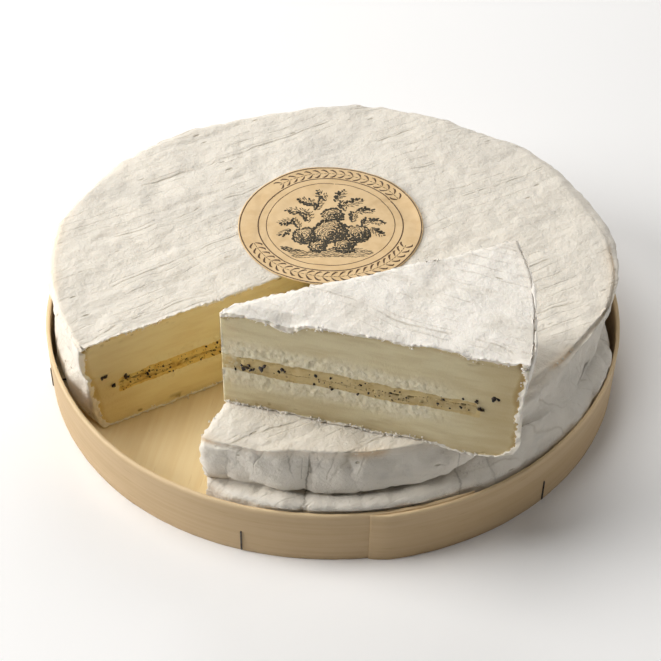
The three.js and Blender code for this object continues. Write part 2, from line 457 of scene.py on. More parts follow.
def rind_finish(name, clean, bruise_and_shade_grey, buff, turn):
    material, tree, shader, place = new_finish(
        name, 0.88, Sheen_Weight=0.12, Sheen_Roughness=0.6, Specular_IOR_Level=0.25,
        Subsurface_Weight=0.12, Subsurface_Scale=0.002, Subsurface_Radius=(1.0, 0.85, 0.7))
    turned = turn_node(tree, place, turn)
    broad = group_node(tree, patches, Place=place, Size=34.0, Low=0.45, High=0.78,
                       First=clean, Second=bruise_and_shade_grey)
    drawn = group_node(tree, patches, Place=stretch_node(tree, turned, (0.4, 1.0, 1.0)), Size=170.0,
                       Low=0.52, High=0.82, First=broad["Color"], Second=bruise_and_shade_grey)
    # Painted shade: the creases and the fold between the tiers are mixed towards the bruised grey.
    wear_and_painted_shade = math_node(tree, "MULTIPLY", attribute_node(tree, "crease_and_fold_shade"), 0.8, clamp=True)
    colour = mix_node(tree, wear_and_painted_shade, drawn["Color"], bruise_and_shade_grey)
    colour = mix_node(tree, attribute_node(tree, "thin_rind"), colour, buff)
    long_lines = group_node(tree, lines_group, Place=turned, Lines_per_Metre=46.0,
                            Width=0.026, Wander=0.012)
    fine_lines = group_node(tree, lines_group, Place=turned, Lines_per_Metre=230.0,
                            Width=0.07, Wander=0.009)
    dashes = group_node(tree, marks, Place=turned, Scale=420.0, Stretch=(0.3, 1.0, 1.0),
                        Reach=0.24, Rarity=0.8)
    cloud = range_node(tree, noise_node(tree, place, 50.0, 2.0), 0.48, 0.62, 0.0, 0.7)
    lines = math_node(tree, "MULTIPLY_ADD", long_lines["Mask"], 0.55,
                      math_node(tree, "MULTIPLY", fine_lines["Mask"], 0.3), clamp=True)
    dark = math_node(tree, "MAXIMUM", lines, math_node(tree, "MULTIPLY", dashes["Mask"], cloud))
    colour = mix_node(tree, dark, colour, LINE_COLOUR)
    # Painted shade: a dark line runs down the middle of each crease, wobbling a little.
    wobble = math_node(tree, "MULTIPLY_ADD", noise_node(tree, place, 260.0, 3.0, 0.6), 2.4, -1.2)
    offset = math_node(tree, "ADD", attribute_node(tree, "crease_offset"), wobble)
    offset = math_node(tree, "ABSOLUTE", offset)
    crease_shade_line = math_node(tree, "MULTIPLY", range_node(tree, offset, 0.05, 0.5, 0.9, 0.0),
                      attribute_node(tree, "crease_dark"))
    put(tree, shader.inputs["Base Color"], mix_node(tree, crease_shade_line, colour, CREASE_SHADE_COLOUR))
    felt = noise_node(tree, place, 1200.0, 4.0, 0.65)
    lumps = noise_node(tree, stretch_node(tree, turned, (0.7, 1.0, 1.0)), 320.0, 3.0, 0.6)
    dents = noise_node(tree, place, 115.0, 2.0, 0.5)
    relief = bump_node(tree, dents, 0.0022, strength=0.6)
    lumps = math_node(tree, "MULTIPLY_ADD", dark, -0.7, lumps)
    relief = bump_node(tree, lumps, 0.0008, relief, strength=0.85)
    put(tree, shader.inputs["Normal"], bump_node(tree, felt, 0.0004, relief, strength=0.7))
    return material


# Painted light: the round and the slice are one cheese, but each piece's colours were matched to its own
# light, so the slice's rind is painted brighter than the round's.
wheel_rind = rind_finish("wheel_rind", *colours((238, 231, 218), (220, 214, 203), BUFF),
                         turn=math.radians(-31))
slice_rind = rind_finish("slice_rind", *colours((252, 246, 236), (232, 225, 212), BUFF),
                         turn=math.radians(24))

# %% [markdown]
# ## Cut paste
#
# A cut through a ripe cheese shows three zones: runny and darker just under the rind, smooth cream
# in the body, and a chalky core next to the filling that crumbles under the knife. The cut face
# stores how ripe, chalky or browned each point is, and the finish blends by these masks. The brown
# also paints dots of shade just under the rind's lip.

# %% Group: the filling's colour
filling, get, give = new_group(
    "filling_colour",
    [("Place", "NodeSocketVector", None), ("Body", "NodeSocketColor", None),
     ("Deep", "NodeSocketColor", None)],
    [("Color", "NodeSocketColor"), ("Height", "NodeSocketFloat")])
grain = group_node(filling, patches, Place=get["Place"], Size=300.0, Low=0.42, High=0.7,
                   First=get["Body"], Second=get["Deep"])
specks = group_node(filling, marks, Place=get["Place"], Scale=560.0, Reach=0.3, Rarity=0.84)
speck_share = math_node(filling, "MULTIPLY", specks["Mask"], 0.6)
put(filling, give["Color"], mix_node(filling, speck_share, grain["Color"], linear((96, 66, 30))))
put(filling, give["Height"], noise_node(filling, get["Place"], 700.0, 3.0, 0.6))


# %% Paste and filling finishes
# brown of the paste's browned corner, also used for dots of painted shade under the rind's lip
BROWN_AND_LIP_SHADE = linear((132, 104, 52))


def soft_food(name, roughness, radius):
    """A moist finish that light enters a few millimetres deep."""
    return new_finish(name, roughness, Specular_IOR_Level=0.35, Subsurface_Weight=0.2,
                      Subsurface_Scale=0.003, Subsurface_Radius=radius)


def paste_finish(name, body, chalk, ripe, rind_colour, filling_body, filling_deep):
    material, tree, shader, place = soft_food(name, 0.6, (1.0, 0.8, 0.5))
    streaks = noise_node(tree, stretch_node(tree, place, (1.0, 1.0, 5.0)), 70.0, 3.0, 0.55)
    body_mixed = mix_node(tree, range_node(tree, streaks, 0.35, 0.7, 0.0, 0.3), body, ripe)
    crumbs = noise_node(tree, place, 700.0, 3.0, 0.65)
    chalky = math_node(tree, "MULTIPLY", attribute_node(tree, "chalky"),
                       range_node(tree, crumbs, 0.3, 0.6, 0.45, 1.0), clamp=True)
    colour = mix_node(tree, chalky, body_mixed, chalk)
    colour = mix_node(tree, attribute_node(tree, "ripe"), colour, ripe)
    # Brown where the paste has browned at the corner, and dots of painted shade under the rind's lip.
    colour = mix_node(tree, attribute_node(tree, "browned"), colour, BROWN_AND_LIP_SHADE)
    filled = group_node(tree, filling, Place=place, Body=filling_body, Deep=filling_deep)
    ragged = math_node(tree, "MULTIPLY_ADD", crumbs, 0.9, -0.45)
    stained = range_node(tree, math_node(tree, "ADD", attribute_node(tree, "filled"), ragged), 0.35, 0.65)
    colour = mix_node(tree, stained, colour, filled["Color"])
    edge = range_node(tree, math_node(tree, "ADD", attribute_node(tree, "rind_show"), ragged), 0.4, 0.6)
    put(tree, shader.inputs["Base Color"], mix_node(tree, edge, colour, rind_colour))
    fine = noise_node(tree, place, 1500.0, 2.0, 0.6)
    height = math_node(tree, "MULTIPLY_ADD", attribute_node(tree, "chalky"),
                       math_node(tree, "MULTIPLY", crumbs, 1.6), math_node(tree, "MULTIPLY", fine, 0.35))
    put(tree, shader.inputs["Normal"], bump_node(tree, height, 0.0004, strength=0.6))
    return material


def filling_finish(name, body, deep):
    material, tree, shader, place = soft_food(name, 0.5, (1.0, 0.75, 0.4))
    filled = group_node(tree, filling, Place=place, Body=body, Deep=deep)
    put(tree, shader.inputs["Base Color"], filled["Color"])
    put(tree, shader.inputs["Normal"], bump_node(tree, filled["Height"], 0.0003, strength=0.45))
    return material


RIND_EDGE = (240, 232, 218)
# Painted light and shade: the round's and the slice's paste and filling are one cheese; their colours
# differ only as each cut looks in its own light.
WHEEL_FILLING = colours((232, 204, 124), (214, 176, 90))
SLICE_FILLING = colours((208, 184, 130), (196, 168, 110))
WHEEL_PASTE = colours((238, 224, 178), (240, 228, 186), (214, 188, 128), RIND_EDGE)
SLICE_PASTE = colours((222, 209, 170), (232, 222, 194), (178, 150, 96), RIND_EDGE)
wheel_paste = paste_finish("wheel_paste", *WHEEL_PASTE, *WHEEL_FILLING)
slice_paste = paste_finish("slice_paste", *SLICE_PASTE, *SLICE_FILLING)
wheel_truffle = filling_finish("wheel_truffle", *WHEEL_FILLING)
slice_truffle = filling_finish("slice_truffle", *SLICE_FILLING)

# %% Truffle bits finish
def patchy_finish(name, roughness, size, low, high, first, second, **settings):
    """A finish of two colours in soft patches."""
    material, tree, shader, place = new_finish(name, roughness, **settings)
    coloured = group_node(tree, patches, Place=place, Size=size, Low=low, High=high,
                          First=linear(first), Second=linear(second))
    put(tree, shader.inputs["Base Color"], coloured["Color"])
    return material, tree, shader, place


truffle_black = patchy_finish("truffle_black", 0.55, 900.0, 0.4, 0.7, (26, 18, 14), (62, 46, 32))[0]

# %% [markdown]
# ## Poplar
#
# Poplar veneer is pale, with long faint streaks and short dark pores along the grain. On the hoop
# the grain runs round the box, so the finish reads a map laid along the strip, in metres. On the
# base it runs straight across. One group makes the grain for both.

# %% Group: grain
grain_group, get, give = new_group(
    "poplar_grain",
    [("Along", "NodeSocketVector", None), ("Light", "NodeSocketColor", None),
     ("Dark", "NodeSocketColor", None), ("Stain", "NodeSocketColor", None)],
    [("Color", "NodeSocketColor"), ("Height", "NodeSocketFloat")])


def along_grain(length, *settings):
    """Noise drawn out along the grain: the smaller the factor, the longer the streaks."""
    drawn = stretch_node(grain_group, get["Along"], (length, 1.0, 1.0))
    return noise_node(grain_group, drawn, *settings)


streaks = along_grain(0.04, 500.0, 4.0, 0.6)
bands = along_grain(0.05, 110.0, 2.0, 0.5)
cloud = along_grain(0.35, 40.0, 2.0, 0.5)
pores = group_node(grain_group, marks, Place=get["Along"], Scale=900.0, Stretch=(0.09, 1.0, 1.0),
                   Reach=0.3, Rarity=0.72)
wood_mix = get["Light"]
for pattern, low, high, most, other in (
        (streaks, 0.35, 0.7, 0.75, "Dark"), (bands, 0.5, 0.75, 0.45, "Stain"),
        (cloud, 0.45, 0.7, 0.3, "Dark")):
    share = range_node(grain_group, pattern, low, high, 0.0, most)
    wood_mix = mix_node(grain_group, share, wood_mix, get[other])
pore_share = math_node(grain_group, "MULTIPLY", pores["Mask"], 0.35)
put(grain_group, give["Color"], mix_node(grain_group, pore_share, wood_mix, get["Stain"]))
put(grain_group, give["Height"], math_node(grain_group, "MULTIPLY_ADD", pores["Mask"], -0.6, streaks))


# %% Wood finishes
FRESH_EDGE = linear((240, 214, 172))


def wood_finish(name, along_strip, light, dark, stain, turn=0.0):
    material, tree, shader, place = new_finish(name, 0.62, Specular_IOR_Level=0.3)
    if along_strip:
        place = tree.nodes.new("ShaderNodeUVMap")
        place.uv_map = "strip"
        place = place.outputs["UV"]
    wood = group_node(tree, grain_group, Along=turn_node(tree, place, turn),
                      Light=light, Dark=dark, Stain=stain)
    fresh = mix_node(tree, attribute_node(tree, "raw_edge"), wood["Color"], FRESH_EDGE)
    put(tree, shader.inputs["Base Color"], fresh)
    put(tree, shader.inputs["Normal"], bump_node(tree, wood["Height"], 0.00012, strength=0.5))
    return material


hoop_wood = wood_finish("hoop_wood", True, *colours((206, 180, 142), (196, 168, 128), (180, 150, 108)))
base_wood = wood_finish("base_wood", False, *colours((242, 222, 178), (236, 212, 164), (222, 194, 144)),
                        turn=math.radians(-80))

# %% Wire, paper and ink finishes
staple_wire = patchy_finish("staple_wire", 0.42, 700.0, 0.4, 0.7, (96, 92, 88), (70, 58, 48),
                            Metallic=1.0)[0]
label_paper, tree, shader, place = patchy_finish("label_paper", 0.8, 220.0, 0.35, 0.75,
                                                 (230, 200, 154), (220, 188, 140))
fibres = noise_node(tree, place, 1400.0, 3.0, 0.6)
put(tree, shader.inputs["Normal"], bump_node(tree, fibres, 0.00008, strength=0.4))
label_ink = new_finish("label_ink", 0.6, Base_Color=linear((92, 66, 38)))[0]
picture_ink = new_finish("picture_ink", 0.6, Base_Color=linear((52, 44, 22)))[0]
print("finishes:", len(bpy.data.materials))

# %% [markdown]
# ## The shape of the cheese
#
# The round is nearly turned, but soft: its side has sagged into two tiers with a fold between, and
# no direction is like the next. A lathe would be too regular and sculpting can't be repeated, so the
# outline is a formula whose values change with direction. It runs in three stretches: the underside
# from 0 to 1, the side from 1 to 2, and the top from 2 to 3.

# %% Strip of the hoop
# The cheese presses on the inside of its box, so the strip's sizes come first: the veneer and its
# glue line in millimetres, then the lap, the run-in and the planed ends as angles round the box
BOX_RADIUS = HOOP_HIGH[0]
VENEER = 1.3
GLUE_LINE = 0.3
LAP_ANGLE = -63.0
LAP_SPAN = math.degrees(36 / BOX_RADIUS)
RUN_SPAN = math.degrees(95 / BOX_RADIUS)
SCARF_SPAN = math.degrees(7 / BOX_RADIUS)
SCARF_EDGE = 0.4
EDGE_ROUND = 0.28


def strip_inside(travel):
    """The strip's inner face, at a travel in degrees clockwise from its inner end."""
    step = fade(LAP_SPAN, LAP_SPAN + RUN_SPAN, travel)
    return BOX_RADIUS - VENEER - (VENEER + GLUE_LINE) * (1 - step)


def hoop_inside(direction):
    return strip_inside((LAP_ANGLE - direction) % 360)


# %% Outline values by direction
OUTLINE_VALUES = ("upper", "bulge", "bulge_z", "waist", "waist_z", "upper_z", "shoulder", "crisp")
# direction; upper and lower tier against the radius, with heights; the fold; the shoulder's run;
# and how crisp the top edge is, from 0 for rolled to 1 for a plain corner
WHEEL_STATIONS = np.array([
    (-150, -0.2, -1.2, 11, 2.0, 24, 37, 0.8, 1.0),
    (-115, 0.4, -2.4, 12, 4.0, 18, 36, 1.2, 1.0),
    (-109, -0.8, 1.8, 18, 4.6, 20, 37, 0.9, 1.0),
    (-104, -0.6, 3.0, 20, 5.0, 21, 34, 1.2, 1.0),
    (-98, -2.0, 3.4, 20.5, 5.2, 22, 29, 2.0, 1.0),
    (-90, -1.8, 3.4, 20.5, 5.2, 22, 28, 2.4, 1.0),
    (-78, -1.6, 3.4, 20.5, 5.2, 22, 29, 2.2, 0.9),
    (-67, -1.0, 3.4, 20, 5.0, 24, 31, 2.8, 0.7),
    (-60, -1.0, 3.4, 19, 4.0, 29, 36, 3.8, 0.5),
    (-50, -2.6, 3.4, 18, 0.8, 33, 38, 5.0, 0.5),
    (-38, -4.6, 3.8, 18, 0.8, 28, 37, 3.6, 0.8),
    (-30, -3.6, 4.2, 19, 1.2, 27, 38, 2.4, 0.9),
    (-22, -2.2, 4.6, 19, 1.6, 27, 38, 1.4, 1.0),
    (-15, 0.2, 4.2, 18, 2.4, 27, 38, 1.0, 1.0),
    (-8, 1.8, 1.2, 16, 3.4, 25, 38, 1.4, 0.9),
    (-2, 3.2, 0.2, 15, 3.2, 24, 38, 2.2, 0.8),
    (8, 4.6, 0.8, 15, 2.4, 22, 36, 4.0, 0.4),
    (18, 5.2, 1.4, 15, 2.0, 21, 35, 6.2, 0.2),
    (38, 4.8, 1.6, 14, 2.4, 20, 34, 7.5, 0.0),
    (60, 0.8, 1.6, 14, 2.8, 20, 33, 7.0, 0.0),
    (88, -2.0, 1.8, 14, 3.4, 20, 33, 6.5, 0.0),
    (112, -3.8, 1.8, 14, 3.2, 20, 33, 6.5, 0.0),
    (132, -0.6, 2.0, 15, 2.4, 21, 34, 6.0, 0.1),
    (150, 2.8, 2.0, 15, 2.0, 21, 34, 6.0, 0.1),
    (170, 4.9, 3.0, 17, 0.6, 24, 35, 3.0, 0.5),
    (190, 3.0, 3.2, 17, 0.6, 24, 35, 2.2, 0.7),
    (203, 0.6, 2.2, 16, 1.0, 24, 37, 1.2, 1.0),
])
SLICE_STATIONS = np.array([
    (-14, 1.1, 0.6, 10, -0.5, 22, 37, 0.6, 1.0),
    (-6, 0.8, -1.4, 11, 1.8, 24, 39, 0.4, 1.0),
    (5, 1.5, -2.2, 11, 2.8, 24, 39, 0.4, 1.0),
    (20, 3.5, -1.0, 10, 2.6, 22, 39, 0.6, 1.0),
])


def bezier(start, first, second, end, share):
    rest = 1 - share
    return (rest ** 3 * start + 3 * rest ** 2 * share * first
            + 3 * rest * share ** 2 * second + share ** 3 * end)


def station_value(shape, name, direction):
    """One of the outline's values at a direction, read between the two nearest stations."""
    stations = shape["stations"]
    column = 1 + OUTLINE_VALUES.index(name)
    return np.interp(direction, stations[:, 0], stations[:, column], period=360)


def cheese_outline(shape, direction, along):
    """Radius and height at a direction and a place along the outline."""
    value = {name: station_value(shape, name, direction) for name in OUTLINE_VALUES}
    radius, low, high = shape["radius"], shape["low"], shape["high"]
    ring = as_points(*polar(radius, direction))
    seed = shape["seed"]
    swell = field(ring, 24, seed) + 0.5 * field(ring, 9, seed + 1)
    upper = radius + value["upper"] + 0.5 * swell
    bulge = radius + value["bulge"] + 0.7 * field(ring, 17, seed + 2)
    waist = radius - value["waist"] + 0.6 * field(ring, 13, seed + 3)
    waist_z = low + value["waist_z"] + 1.2 * field(ring, 30, seed + 4) + 0.6 * field(ring, 8, seed + 5)
    bulge_z = low + value["bulge_z"]
    upper_z = low + value["upper_z"]
    shoulder = upper - value["shoulder"]
    foot = radius - shape["foot"]
    ledge = value["waist"] * 0.55
    edge_reach = shoulder + (0.62 - 0.55 * value["crisp"]) * value["shoulder"]
    edge_z = high - 3.2 * value["crisp"]
    pieces = (
        ((foot, low), (bulge - 1.0, low), (bulge, bulge_z - 5.0), (bulge, bulge_z)),
        ((bulge, bulge_z), (bulge, bulge_z + 4.5), (waist + ledge, waist_z - 0.6), (waist, waist_z)),
        ((waist, waist_z), (waist + ledge, waist_z + 0.6), (upper, upper_z - 7.0), (upper, upper_z)),
        ((upper, upper_z), (upper, upper_z + 3.5), (edge_reach, edge_z), (shoulder, high)),
    )
    part = np.clip((along - 1) * 4, 0, 3.999999)
    whole = np.floor(part)
    share = part - whole
    reach = foot * np.clip(along, 0, 1)
    height = np.full_like(reach, low)
    for number, (start, first, second, end) in enumerate(pieces):
        here = (along > 1) & (along <= 2) & (whole == number)
        reach = np.where(here, bezier(start[0], first[0], second[0], end[0], share), reach)
        height = np.where(here, bezier(start[1], first[1], second[1], end[1], share), height)
    on_top = along > 2
    return np.where(on_top, shoulder * (3 - along), reach), np.where(on_top, high, height)


# %% [markdown]
# The top's relief is shared: the round uses it, the label lies on it, and the slice's underside
# settles into it. It has slow swells from the curd, crossed by shallow straight lines where the
# cheese lay on a mat while it ripened.

# %% Relief of the rind
MAT_TURN = math.radians(31)
MAT_PITCH = 17.0


def top_relief(x, y, seed=40, turn=MAT_TURN):
    """Height of the top's swells, wrinkles and mat lines over its flat level."""
    place = as_points(x, y)
    along = x * math.cos(turn) + y * math.sin(turn)
    across = -x * math.sin(turn) + y * math.cos(turn)
    swells = (0.6 * field(place, 34, seed) + 0.42 * field(place, 13, seed + 1)
              + 0.2 * field(place, 5, seed + 2))
    wrinkle = 1 - np.abs(field(as_points(along * 0.7, across), 9, seed + 5))
    swells = swells - 0.3 * fade(0.6, 1.0, wrinkle) * fade(-0.4, 0.5, field(place, 24, seed + 6))
    bent = across + 2.4 * field(place, 26, seed + 3)
    line = (0.5 + 0.5 * np.cos(2 * np.pi * bent / MAT_PITCH)) ** 14
    return swells - 0.35 * line * fade(-0.3, 0.5, field(place, 19, seed + 4)) - 0.15


def side_relief(direction, radius, height, seed):
    """Soft upright folds and small puckers of the side."""
    arc = np.radians(direction) * radius
    folds = (0.75 * field(as_points(arc, height * 0.32), 12, seed)
             + 0.35 * field(as_points(arc, height * 0.6), 5, seed + 1))
    puckers = 1 - np.abs(field(as_points(arc, height * 0.4), 6, seed + 4))
    return folds + 0.2 * field(as_points(arc, height), 2.8, seed + 2) - 0.5 * fade(0.7, 1.0, puckers)


# Creases: direction, lowest and highest height above the table, width, depth, lean in degrees,
# and how strong the painted shade along it is
WHEEL_CREASES = (
    (-95.3, 20, 42, 0.9, 0.7, 1.2, 0.8),
    (-99.5, 4, 23, 0.9, 0.9, 4.2, 0.9),
    (-92.6, 4, 22, 0.9, 0.6, -2.6, 0.35),
    (-97.6, 34, 43, 0.8, 0.6, -1.2, 0.4),
    (-92.8, 36, 43, 0.8, 0.6, 1.6, 0.3),
    (-111.0, 22, 40, 1.2, 0.8, 1.0, 0.25),
    (-104.0, 24, 36, 1.3, 0.5, 3.0, 0.0),
    (-84.0, 22, 40, 1.2, 0.6, -3.0, 0.1),
    (-72.0, 4, 22, 0.8, 1.0, -3.0, 0.5),
    (-66.0, 6, 38, 0.9, 0.9, 1.0, 0.4),
    (-58.0, 20, 40, 1.0, 0.8, -2.0, 0.2),
    (-31.0, 6, 30, 1.4, 0.8, 5.0, 0.1),
    (-12.0, 10, 40, 1.2, 0.9, -3.0, 0.2),
    (35.0, 8, 38, 1.2, 1.2, 4.0, 0.4),
    (88.0, 6, 36, 1.0, 1.0, -3.0, 0.4),
    (140.0, 10, 40, 1.2, 1.1, 3.0, 0.4),
    (183.0, 8, 38, 1.0, 0.8, 2.0, 0.3),
)


def crease_depth(creases, direction, radius, height):
    """Depth in a crease, signed distance from the nearest crease, and how strong that one's painted shade
    is.
    """
    depth = np.zeros_like(height)
    nearest = np.full_like(height, 99.0)
    darkness = np.zeros_like(height)
    for middle, low, high, width, deep, lean, dark in creases:
        turn = (direction - middle - lean * (height - low) / (high - low) + 180) % 360 - 180
        offset = np.radians(turn) * radius
        span = fade(low - 4, low + 3, height) * (1 - fade(high - 3, high + 4, height))
        depth += deep * span * np.exp(-(np.abs(offset) / width) ** 1.3)
        closer = (np.abs(offset) < np.abs(nearest)) & (span > 0)
        nearest = np.where(closer, offset, nearest)
        darkness = np.where(closer, dark * span * (1 - fade(1.6, 3.0, np.abs(offset))), darkness)
    return depth, np.clip(nearest, -4, 4), darkness


# %% Points of the rind
RIND_MASKS = ("crease_and_fold_shade", "thin_rind", "crease_offset", "crease_dark")
OUTLINE_STEP = 0.004


def round_apex(shape, reach, direction):
    x, y = polar(reach, direction)
    return x + shape["apex"][0], y + shape["apex"][1]


def rind_points(shape, direction, along):
    """Places on the rind, and the rind's masks there."""
    direction, along = np.broadcast_arrays(np.asarray(direction, float), along)
    reach, height = cheese_outline(shape, direction, along)
    before = cheese_outline(shape, direction, np.clip(along - OUTLINE_STEP, 0, 3))
    after = cheese_outline(shape, direction, np.clip(along + OUTLINE_STEP, 0, 3))
    run, rise = after[0] - before[0], after[1] - before[1]
    length = np.maximum(np.hypot(run, rise), 1e-9)
    out_reach, out_height = rise / length, -run / length
    x, y = round_apex(shape, reach, direction)
    seed = shape["seed"]
    topness = fade(1.72, 2.0, along)
    sideness = fade(1.0, 1.15, along) * (1 - fade(1.85, 2.05, along))
    crease, nearest, darkness = crease_depth(shape["creases"], direction, shape["radius"], height)
    crease, darkness = crease * sideness, darkness * sideness
    edge = station_value(shape, "crisp", direction) * np.exp(-((along - 1.97) / 0.04) ** 2)
    place = as_points(x, y, height)
    torn = field(place, 2.4, seed + 25) + 0.6 * field(place, 1.2, seed + 26)
    push = (topness * shape["top_relief"](x, y) + 0.3 * edge * torn
            + sideness * side_relief(direction, shape["radius"], height, seed + 20) - crease)
    reach = reach + push * out_reach
    height = height + push * out_height
    reach = np.minimum(reach, shape["limit"](direction, height))
    x, y = round_apex(shape, reach, direction)
    height = height + shape["settle"](x, y, direction, reach, along)
    # Painted shade: a band along the fold under the upper tier, with the creases, darkens the rind's
    # colour.
    above_fold = height - shape["low"] - station_value(shape, "waist_z", direction)
    painted_fold_shade = np.exp(-(above_fold / 2.2) ** 2) * sideness * shape["fold_tint"]
    arc = np.radians(direction) * shape["radius"]
    wear_and_painted_shade = fade(-0.1, 0.7, field(as_points(arc, 0.0), 14, seed + 30))
    lower_tier = shape["lower_tint"] * fade(1.02, 1.08, along) * (1 - fade(1.44, 1.5, along))
    thin = np.clip(shape["edge_tint"] * edge * (0.25 + wear_and_painted_shade) + lower_tier, 0, 1)
    crease_and_fold_shade = np.clip(crease * 0.5 + painted_fold_shade, 0, 1)
    return as_points(x, y, height), np.stack([crease_and_fold_shade, thin, nearest, darkness], -1)


# %% [markdown]
# ## Body of a cut cheese
#
# A cut cheese is the outline swept from one cut to the other, closed by two flat faces. The rind
# needs a point each millimetre or two, but a cut face shows crumbs and needs one each third of a
# millimetre. So the sweep is coarse, its two end columns are fine, and each face is a fine grid
# stretched between the fine column and the cheese's axis. All of it shares its edge points, so the
# body is one closed skin.

# %% Build a cut cheese
FACE_MASKS = ("rind_show", "ripe", "browned", "chalky", "filled")


def outline_steps(under, side, top):
    """Places along the outline, from the middle of the underside to the middle of the top."""
    return np.concatenate([np.linspace(0, 1, under + 1), np.linspace(1, 2, side + 1)[1:],
                           np.linspace(2, 3, top + 1)[1:]])


def cut_cheese(name, shape, counts, materials):
    """counts: columns, coarse rows for underside, side and top, and fine steps per coarse row."""
    columns, under, side, top, fine_under, fine_side, fine_top = counts
    wide, tall = under * fine_under, side * fine_side
    assert wide == top * fine_top
    directions = np.linspace(shape["start"], shape["end"], columns + 1)
    rows = under + side + top
    coarse = outline_steps(under, side, top)
    fine = outline_steps(wide, tall, wide)
    fine_of_row = np.concatenate([
        np.arange(under + 1) * fine_under, wide + np.arange(1, side + 1) * fine_side,
        wide + tall + np.arange(1, top + 1) * fine_top])

    kinds = len(RIND_MASKS)
    middle, middle_masks = rind_points(shape, directions[1:-1, None], coarse[None, 1:-1])
    poles = rind_points(shape, np.full(2, directions[0]), np.array([0.0, 3.0]))[0]
    points = [poles, middle.reshape(-1, 3)]
    rind_masks = [np.zeros((2, kinds)), middle_masks.reshape(-1, kinds)]
    cell = 2 + np.arange((columns - 1) * (rows - 1)).reshape(columns - 1, rows - 1)
    column_index = np.concatenate([np.zeros((columns - 1, 1), int), cell,
                                   np.ones((columns - 1, 1), int)], axis=1)
    total = 2 + middle.shape[0] * middle.shape[1]

    faces, face_materials = [], []
    masks = {key: [np.zeros(total)] for key in FACE_MASKS}
    axis_points = poles[0] + (poles[1] - poles[0]) * np.linspace(0, 1, tall + 1)[1:-1, None]
    points.append(axis_points)
    rind_masks.append(np.zeros((tall - 1, kinds)))
    axis_index = np.concatenate([[0], total + np.arange(tall - 1), [1]])
    total += tall - 1

    for end, direction in ((0, directions[0]), (1, directions[-1])):
        sign = -1 if end == 0 else 1
        angle = math.radians(direction)
        outward = sign * np.array([-math.sin(angle), math.cos(angle), 0.0])
        edge, edge_masks = rind_points(shape, np.full(len(fine) - 2, direction), fine[1:-1])
        edge_all = np.concatenate([poles[:1], edge, poles[1:]])
        bottom_line, top_line = edge_all[:wide + 1], edge_all[wide + tall:][::-1]
        side_line = edge_all[wide:wide + tall + 1]
        axis_line = np.concatenate([poles[:1], axis_points, poles[1:]])
        a = np.linspace(0, 1, wide + 1)[:, None, None]
        b = np.linspace(0, 1, tall + 1)[None, :, None]
        face = ((1 - b) * bottom_line[:, None] + b * top_line[:, None]
                + (1 - a) * axis_line[None] + a * side_line[None]
                - (1 - a) * (1 - b) * poles[0] - (1 - a) * b * poles[1]
                - a * (1 - b) * bottom_line[-1] - a * b * top_line[-1])
        reach = np.hypot(face[..., 0] - shape["apex"][0], face[..., 1] - shape["apex"][1])
        side_reach = np.hypot(side_line[:, 0] - shape["apex"][0], side_line[:, 1] - shape["apex"][1])
        height = face[..., 2]
        depths = (top_line[:, None, 2] - height, height - bottom_line[:, None, 2],
                  side_reach[None] - reach)
        push, face_mask = shape["face"](shape, end, reach, height, depths)
        face = face + outward * push[..., None]
        index = np.empty((wide + 1, tall + 1), int)
        inner = (wide - 1) * (tall - 1)
        edge_first = total
        index[1:-1, 1:-1] = edge_first + len(edge) + np.arange(inner).reshape(wide - 1, tall - 1)
        edge_index = np.concatenate([[0], edge_first + np.arange(len(edge)), [1]])
        index[:, 0] = edge_index[:wide + 1]
        index[-1, :] = edge_index[wide:wide + tall + 1]
        index[:, -1] = edge_index[wide + tall:][::-1]
        index[0, :] = axis_index

        def along_edge(grid):
            return np.concatenate([grid[1:, 0], grid[-1, 1:], grid[1:-1, -1][::-1]])

        points += [along_edge(face), face[1:-1, 1:-1].reshape(-1, 3)]
        rind_masks += [edge_masks, np.zeros((inner, kinds))]
        if end == 0:
            for key in masks:
                masks[key].append(face_mask[key][0, 1:-1])
        for key in masks:
            masks[key] += [along_edge(face_mask[key]), face_mask[key][1:-1, 1:-1].ravel()]
        total += len(edge) + inner
        corners = [index[:-1, :-1], index[1:, :-1], index[1:, 1:], index[:-1, 1:]]
        quads = np.stack(corners, -1).reshape(-1, 4)
        if end == 1:
            quads = quads[:, ::-1]
        faces += quads.tolist()
        face_materials += [1] * len(quads)

        beside = column_index[0] if end == 0 else column_index[-1]
        for row in range(rows):
            strip = edge_index[fine_of_row[row]:fine_of_row[row + 1] + 1].tolist()
            pair = [beside[row + 1], beside[row]]
            ring = strip[::-1] + pair[::-1] if end == 0 else strip + pair
            seen = []
            for corner in ring:
                if corner not in seen:
                    seen.append(int(corner))
            faces.append(seen)
            face_materials.append(0)

    for row in range(rows):
        first, second = column_index[:-1], column_index[1:]
        strip = np.stack([first[:, row], second[:, row], second[:, row + 1], first[:, row + 1]], -1)
        if row == 0:
            strip = strip[:, 1:]
        if row == rows - 1:
            strip = strip[:, :3]
        faces += strip.tolist()
        face_materials += [0] * len(strip)

    piece = new_object(name, np.concatenate(points), faces, materials, face_materials)
    for key, values in zip(RIND_MASKS, np.concatenate(rind_masks).T):
        mark_points(piece.data, key, values)
    for key, values in masks.items():
        mark_points(piece.data, key, np.concatenate(values))
    print("%s: %d points, %d faces" % (name, len(piece.data.vertices), len(piece.data.polygons)))
    return piece


# %% [markdown]
# ## What a cut face looks like
#
# The knife leaves a nearly flat face, slightly wavy, with fine drag lines. Next to the filling the
# chalky core tears and crumbles. The rind is tougher than the paste, so it stands a little proud at
# the edge, in a ragged lip. The face's slot for the filling is sunk, so that the filling sits in it.

# %% Cut face relief and masks
LAYER_SINK = 0.4
RIND_THICKNESS = {"top": 0.75, "bottom": 0.65, "side": 1.7}


def layer_edges(reach, seed):
    """How much the filling's upper and lower edges wander, in millimetres."""
    place = as_points(reach, 0.0)
    upper = 0.55 * field(place, 9, seed) + 0.3 * field(place, 2.5, seed + 1)
    lower = 0.45 * field(place, 11, seed + 2) + 0.2 * field(place, 3, seed + 3)
    return upper, lower


